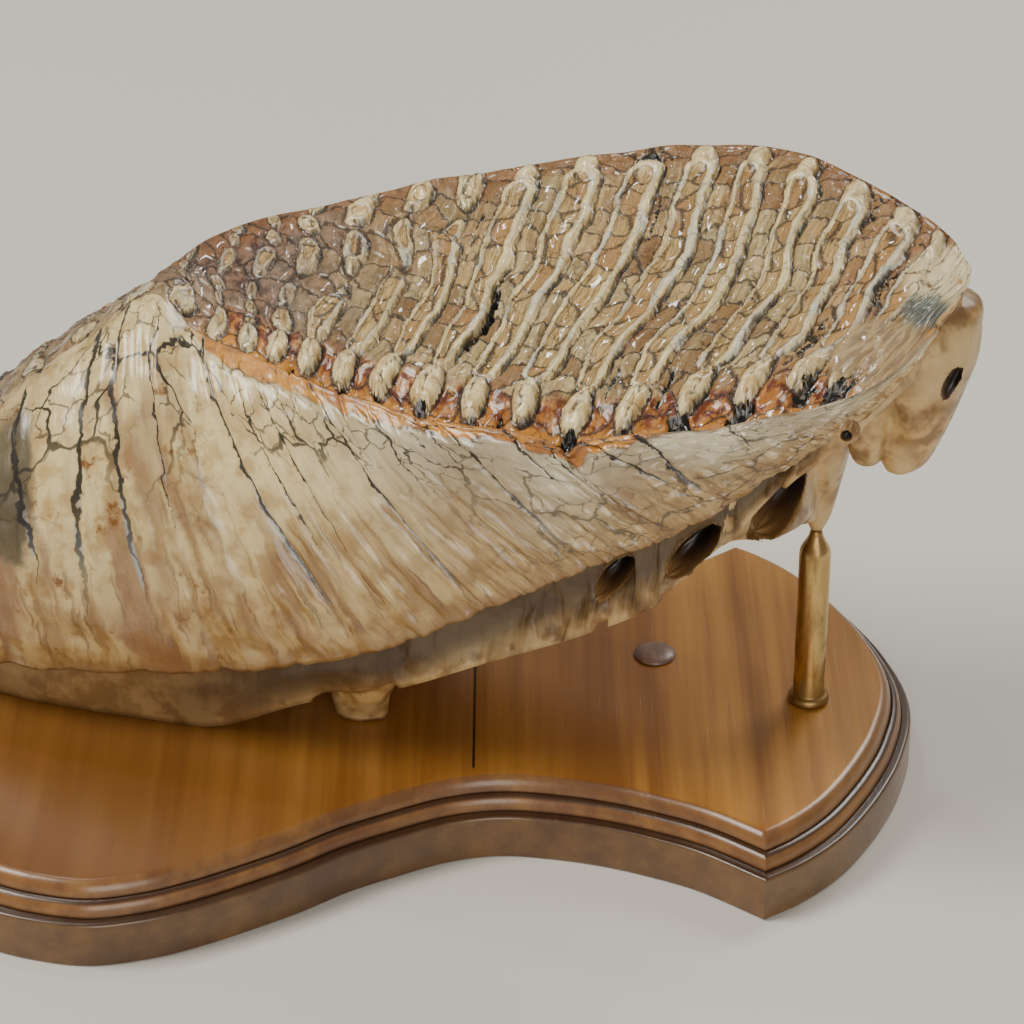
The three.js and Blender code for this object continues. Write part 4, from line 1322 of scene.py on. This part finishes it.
def wall_material():
    """The side walls, the underside and the roots: ivory cement near the rim that goes tan and
    streaked with brown downwards, dark cracks with blue-grey filling, brown stains to the rear,
    amber along the rim, painted shade in the fluted recess of the near root wall, and in the hollows brown
    at the mouth that darkens inwards to painted near-black shade."""
    material, shader, where = start_material("wall and roots")
    plate, down, crack, shelf, cavity_depth = (
        reading(shader, name) for name in ("plate", "down", "crack", "shelf", "core")
    )
    skin = joined_axes(times(plate, WALL_PLATE_SPACING / 1000), times(down, WALL_DROP))
    fine = flat_noise(skin, 900, 3, 0.6)
    medium = noise(where, 160, 3, 0.55)
    broad = noise(where, 38, 2, 0.5)
    bent_skin = vector_maths("ADD", {0: skin, 1: joined_axes(times(medium, 0.003))})
    streak = flat_noise(bent_skin, 150, 3, 0.62, scaled=(1.6, 0.22, 1))
    thin = flat_noise(bent_skin, 520, 2, 0.6, scaled=(1.5, 0.16, 1))
    wide = flat_noise(bent_skin, 60, 2, 0.6, scaled=(1.6, 0.35, 1))

    ivory = mix(ramp(broad, 0.38, 0.66), 0xC4B798, 0xA29276)
    warm = mix(ramp(medium, 0.38, 0.66), 0xE6D29C, 0xC6A870)
    ivory = mix(ramp(plate, 1.0, 7.0, 1, 0), ivory, warm)
    tan = mix(ramp(medium, 0.38, 0.64), 0xB99A66, 0x967442)
    uneven = times_plus(broad, 0.5, minus(down, 0.25))
    lower = ramp(uneven, 0.4, 0.95)
    lower = largest(lower, ramp(plate, -4.5, -2.0, 0.8, 0))
    colour = mix(lower, ivory, tan)
    stain = times(ramp(streak, 0.50, 0.68), ramp(lower, 0.1, 0.8, 0.12, 0.75))
    colour = mix(stain, colour, 0x805A30)
    lines = times(ramp(thin, 0.56, 0.7), ramp(lower, 0.1, 0.8, 0.15, 0.6))
    colour = mix(lines, colour, 0x64462A)
    rear = ramp(plate, -2.2, 1.5, 1, 0)
    mauve = times(ramp(wide, 0.50, 0.62), ramp(down, 0.22, 0.4, 0, 0.75))
    colour = mix(times(mauve, rear), colour, 0x80583A)
    spots = ramp(noise(where, 170, 4, 0.7), 0.57, 0.72, 0, 1)
    spots = times(spots, ramp(plate, -2.0, 3.5, 1, 0.08))
    colour = mix(spots, colour, 0x7A4C16)
    dirt = spot_at(joined_axes(plate, times(down, 2.0)), DIRT_PLACE, DIRT_SIZE)
    dirt = ramp(times_plus(medium, 0.8, dirt), 1.15, 1.5, 0.9, 0)
    on_near_side = ramp(axes(where)[1], 0.0, 0.01, 1, 0)
    dirt = times(dirt, on_near_side)
    colour = mix(dirt, colour, mix(medium, 0x6A6048, 0x2B2A24))
    colour = mix(ramp(down, 0.90, 0.99, 0, 0.65), colour, 0x8A653C)

    rootish = ramp(down, 1.02, 1.15)
    bone = mix(ramp(medium, 0.38, 0.60), 0xC8A26A, 0x8C6838)
    bone = mix(ramp(broad, 0.44, 0.62, 0, 0.75), bone, 0xCFB280)
    bone = mix(ramp(noise(where, 95, 3, 0.6), 0.52, 0.66, 0, 0.75), bone, 0x6C4827)
    bone = mix(ramp(plate, -1.0, 3.0, 0.6, 0), bone, 0x7E5E38)
    # Painted shade: the fluted recess in the near root wall is painted dark brown.
    bone = mix(times(crack, 0.9), bone, 0x3E2C1B)
    colour = mix(rootish, colour, bone)
    # Painted shade: inside each hollow the colour goes from brown at the mouth to near black deep in, as
    # the shade there.
    cavity = ramp(down, 2.2, 2.8)
    hollow_shade = mix(ramp(cavity_depth, 0.1, 0.7), 0x9A784C, 0x4A301C)
    hollow_shade = mix(ramp(cavity_depth, 0.55, 0.95), hollow_shade, 0x17100B)
    colour = mix(cavity, colour, hollow_shade)

    shelf_edge = times_plus(medium, 1.0, minus(shelf, 0.5))
    amber = mix(ramp(medium, 0.4, 0.62), 0xCE8A2C, 0x9E5E1C)
    on_wall = ramp(down, 0.9, 1.0, 1, 0)
    on_shelf = times(ramp(shelf_edge, -0.25, 0.15, 1, 0), ramp(plate, -0.3, 0.8))
    colour = mix(times(on_shelf, times(on_wall, 0.92)), colour, amber)
    lip = ramp(size_of(shelf_edge), 0.05, 0.4, 0.55, 0)
    lip = times(lip, times(breaks_in(skin, 150.0), ramp(plate, 0, 1)))
    colour = mix(lip, colour, 0x3A2213)

    wall_only = ramp(down, 0.98, 1.05, 1, 0)
    filled = times(ramp(crack, 0.55, 0.75), ramp(down, 0.45, 0.6))
    filled = times(filled, wall_only)
    colour = mix(times(filled, 0.8), colour, 0x9AA0A4)
    dark = times(long_cracks(plate, down, fine, medium), ramp(down, 0.5, 0.8, 1, 0.55))
    net = crack_net(skin, 70.0, 0.03, 0.65)
    small = crack_net(skin, 170.0, 0.042, 0.65)
    front = ramp(plate, 4.0, 8.0)
    fade = largest(ramp(down, 0.3, 0.75, 1, 0.0), times(front, 0.7))
    net = times(largest(net, times(small, 0.75)), fade)
    dark = largest(dark, net)
    dark = times(dark, wall_only)
    colour = mix(times(dark, 0.96), colour, 0x211C19)
    rough = largest(ramp(medium, 0.3, 0.7, 0.22, 0.38), ramp(rootish, 0, 1, 0, 0.45))
    feed(shader, {
        "Base Color": colour, "Roughness": rough, "Coat Weight": ramp(down, 1.0, 1.2, 0.6, 0.25),
        "Coat Roughness": 0.15, "Normal": raised(times_plus(thin, 0.7, streak), 0.45, 0.0007),
    })
    return material


def split_materials(piece):
    """The chewing face gets the first material and all else the second. A face belongs to the
    chewing face where its stored share down the wall is 0 at every corner."""
    mesh = piece.data
    down = np.empty(len(mesh.loops), np.float32)
    mesh.attributes["down"].data.foreach_get("value", down)
    starts = np.empty(len(mesh.polygons), int)
    mesh.polygons.foreach_get("loop_start", starts)
    on_top = np.maximum.reduceat(down, starts) < 1e-4
    mesh.polygons.foreach_set("material_index", np.where(on_top, 0, 1))
    mesh.polygons.foreach_set("use_smooth", np.ones(len(mesh.polygons), bool))
    mesh.update()


tooth.data.materials.clear()
tooth.data.materials.append(worn_face_material())
tooth.data.materials.append(wall_material())
split_materials(tooth)
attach(tooth, "root")
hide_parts("molar")


# The studio: a wide, pale, matt floor, three large soft lights and a smaller one that gives the
# varnish its glints.
def make_floor():
    """One large square."""
    edge = 6.0
    points = [(-edge, -edge, 0), (edge, -edge, 0), (edge, edge, 0), (-edge, edge, 0)]
    floor = make_mesh("studio_floor", points, [(0, 1, 2, 3)], smooth=False)
    material, shader, _ = start_material("pale floor")
    feed(shader, {"Base Color": paint(0xD9D6D0), "Roughness": 0.75})
    floor.data.materials.append(material)
    return floor


make_floor()


def soft_light(name, place_at, aim, size, power, colour):
    """A square area light turned towards a point."""
    lamp = bpy.data.lights.new(name, "AREA")
    lamp.shape, lamp.size, lamp.energy, lamp.color = "SQUARE", size, power, colour
    holder = bpy.data.objects.new(name, lamp)
    bpy.context.scene.collection.objects.link(holder)
    holder.location = place_at
    way = Vector(aim) - Vector(place_at)
    holder.rotation_euler = way.to_track_quat("-Z", "Y").to_euler()


soft_light("key", (-0.85, -0.15, 1.15), (0.05, 0, 0.08), 0.6, 17, (1.0, 0.965, 0.87))
soft_light("front fill", (0.25, -1.35, 0.6), (0.0, 0, 0.09), 0.8, 9, (1.0, 0.96, 0.87))
soft_light("back", (0.75, 0.75, 0.9), (0.08, 0, 0.1), 0.5, 7, (1.0, 0.97, 0.9))
soft_light("glints", (-0.26, 0.52, 1.35), (0.08, 0, 0.13), 0.09, 1.6, (1.0, 1.0, 1.0))
world = bpy.data.worlds.new("pale room")
world.use_nodes = True
feed(world.node_tree.nodes["Background"], {"Color": paint(0xE2DED4), "Strength": 0.35})
bpy.context.scene.world = world

# The camera stands where the photograph's stood: a long lens that looks 30 degrees down, with
# the board's length running straight across the picture.
camera = bpy.data.cameras.new("camera")
camera.sensor_width = 36.0
camera.lens = 126.5625
camera.clip_end = 20.0
viewer = bpy.data.objects.new("camera", camera)
viewer.location = (0.1011, -0.7847, 0.5232)
viewer.rotation_euler = (math.radians(60), 0, 0)
bpy.context.scene.collection.objects.link(viewer)
bpy.context.scene.camera = viewer
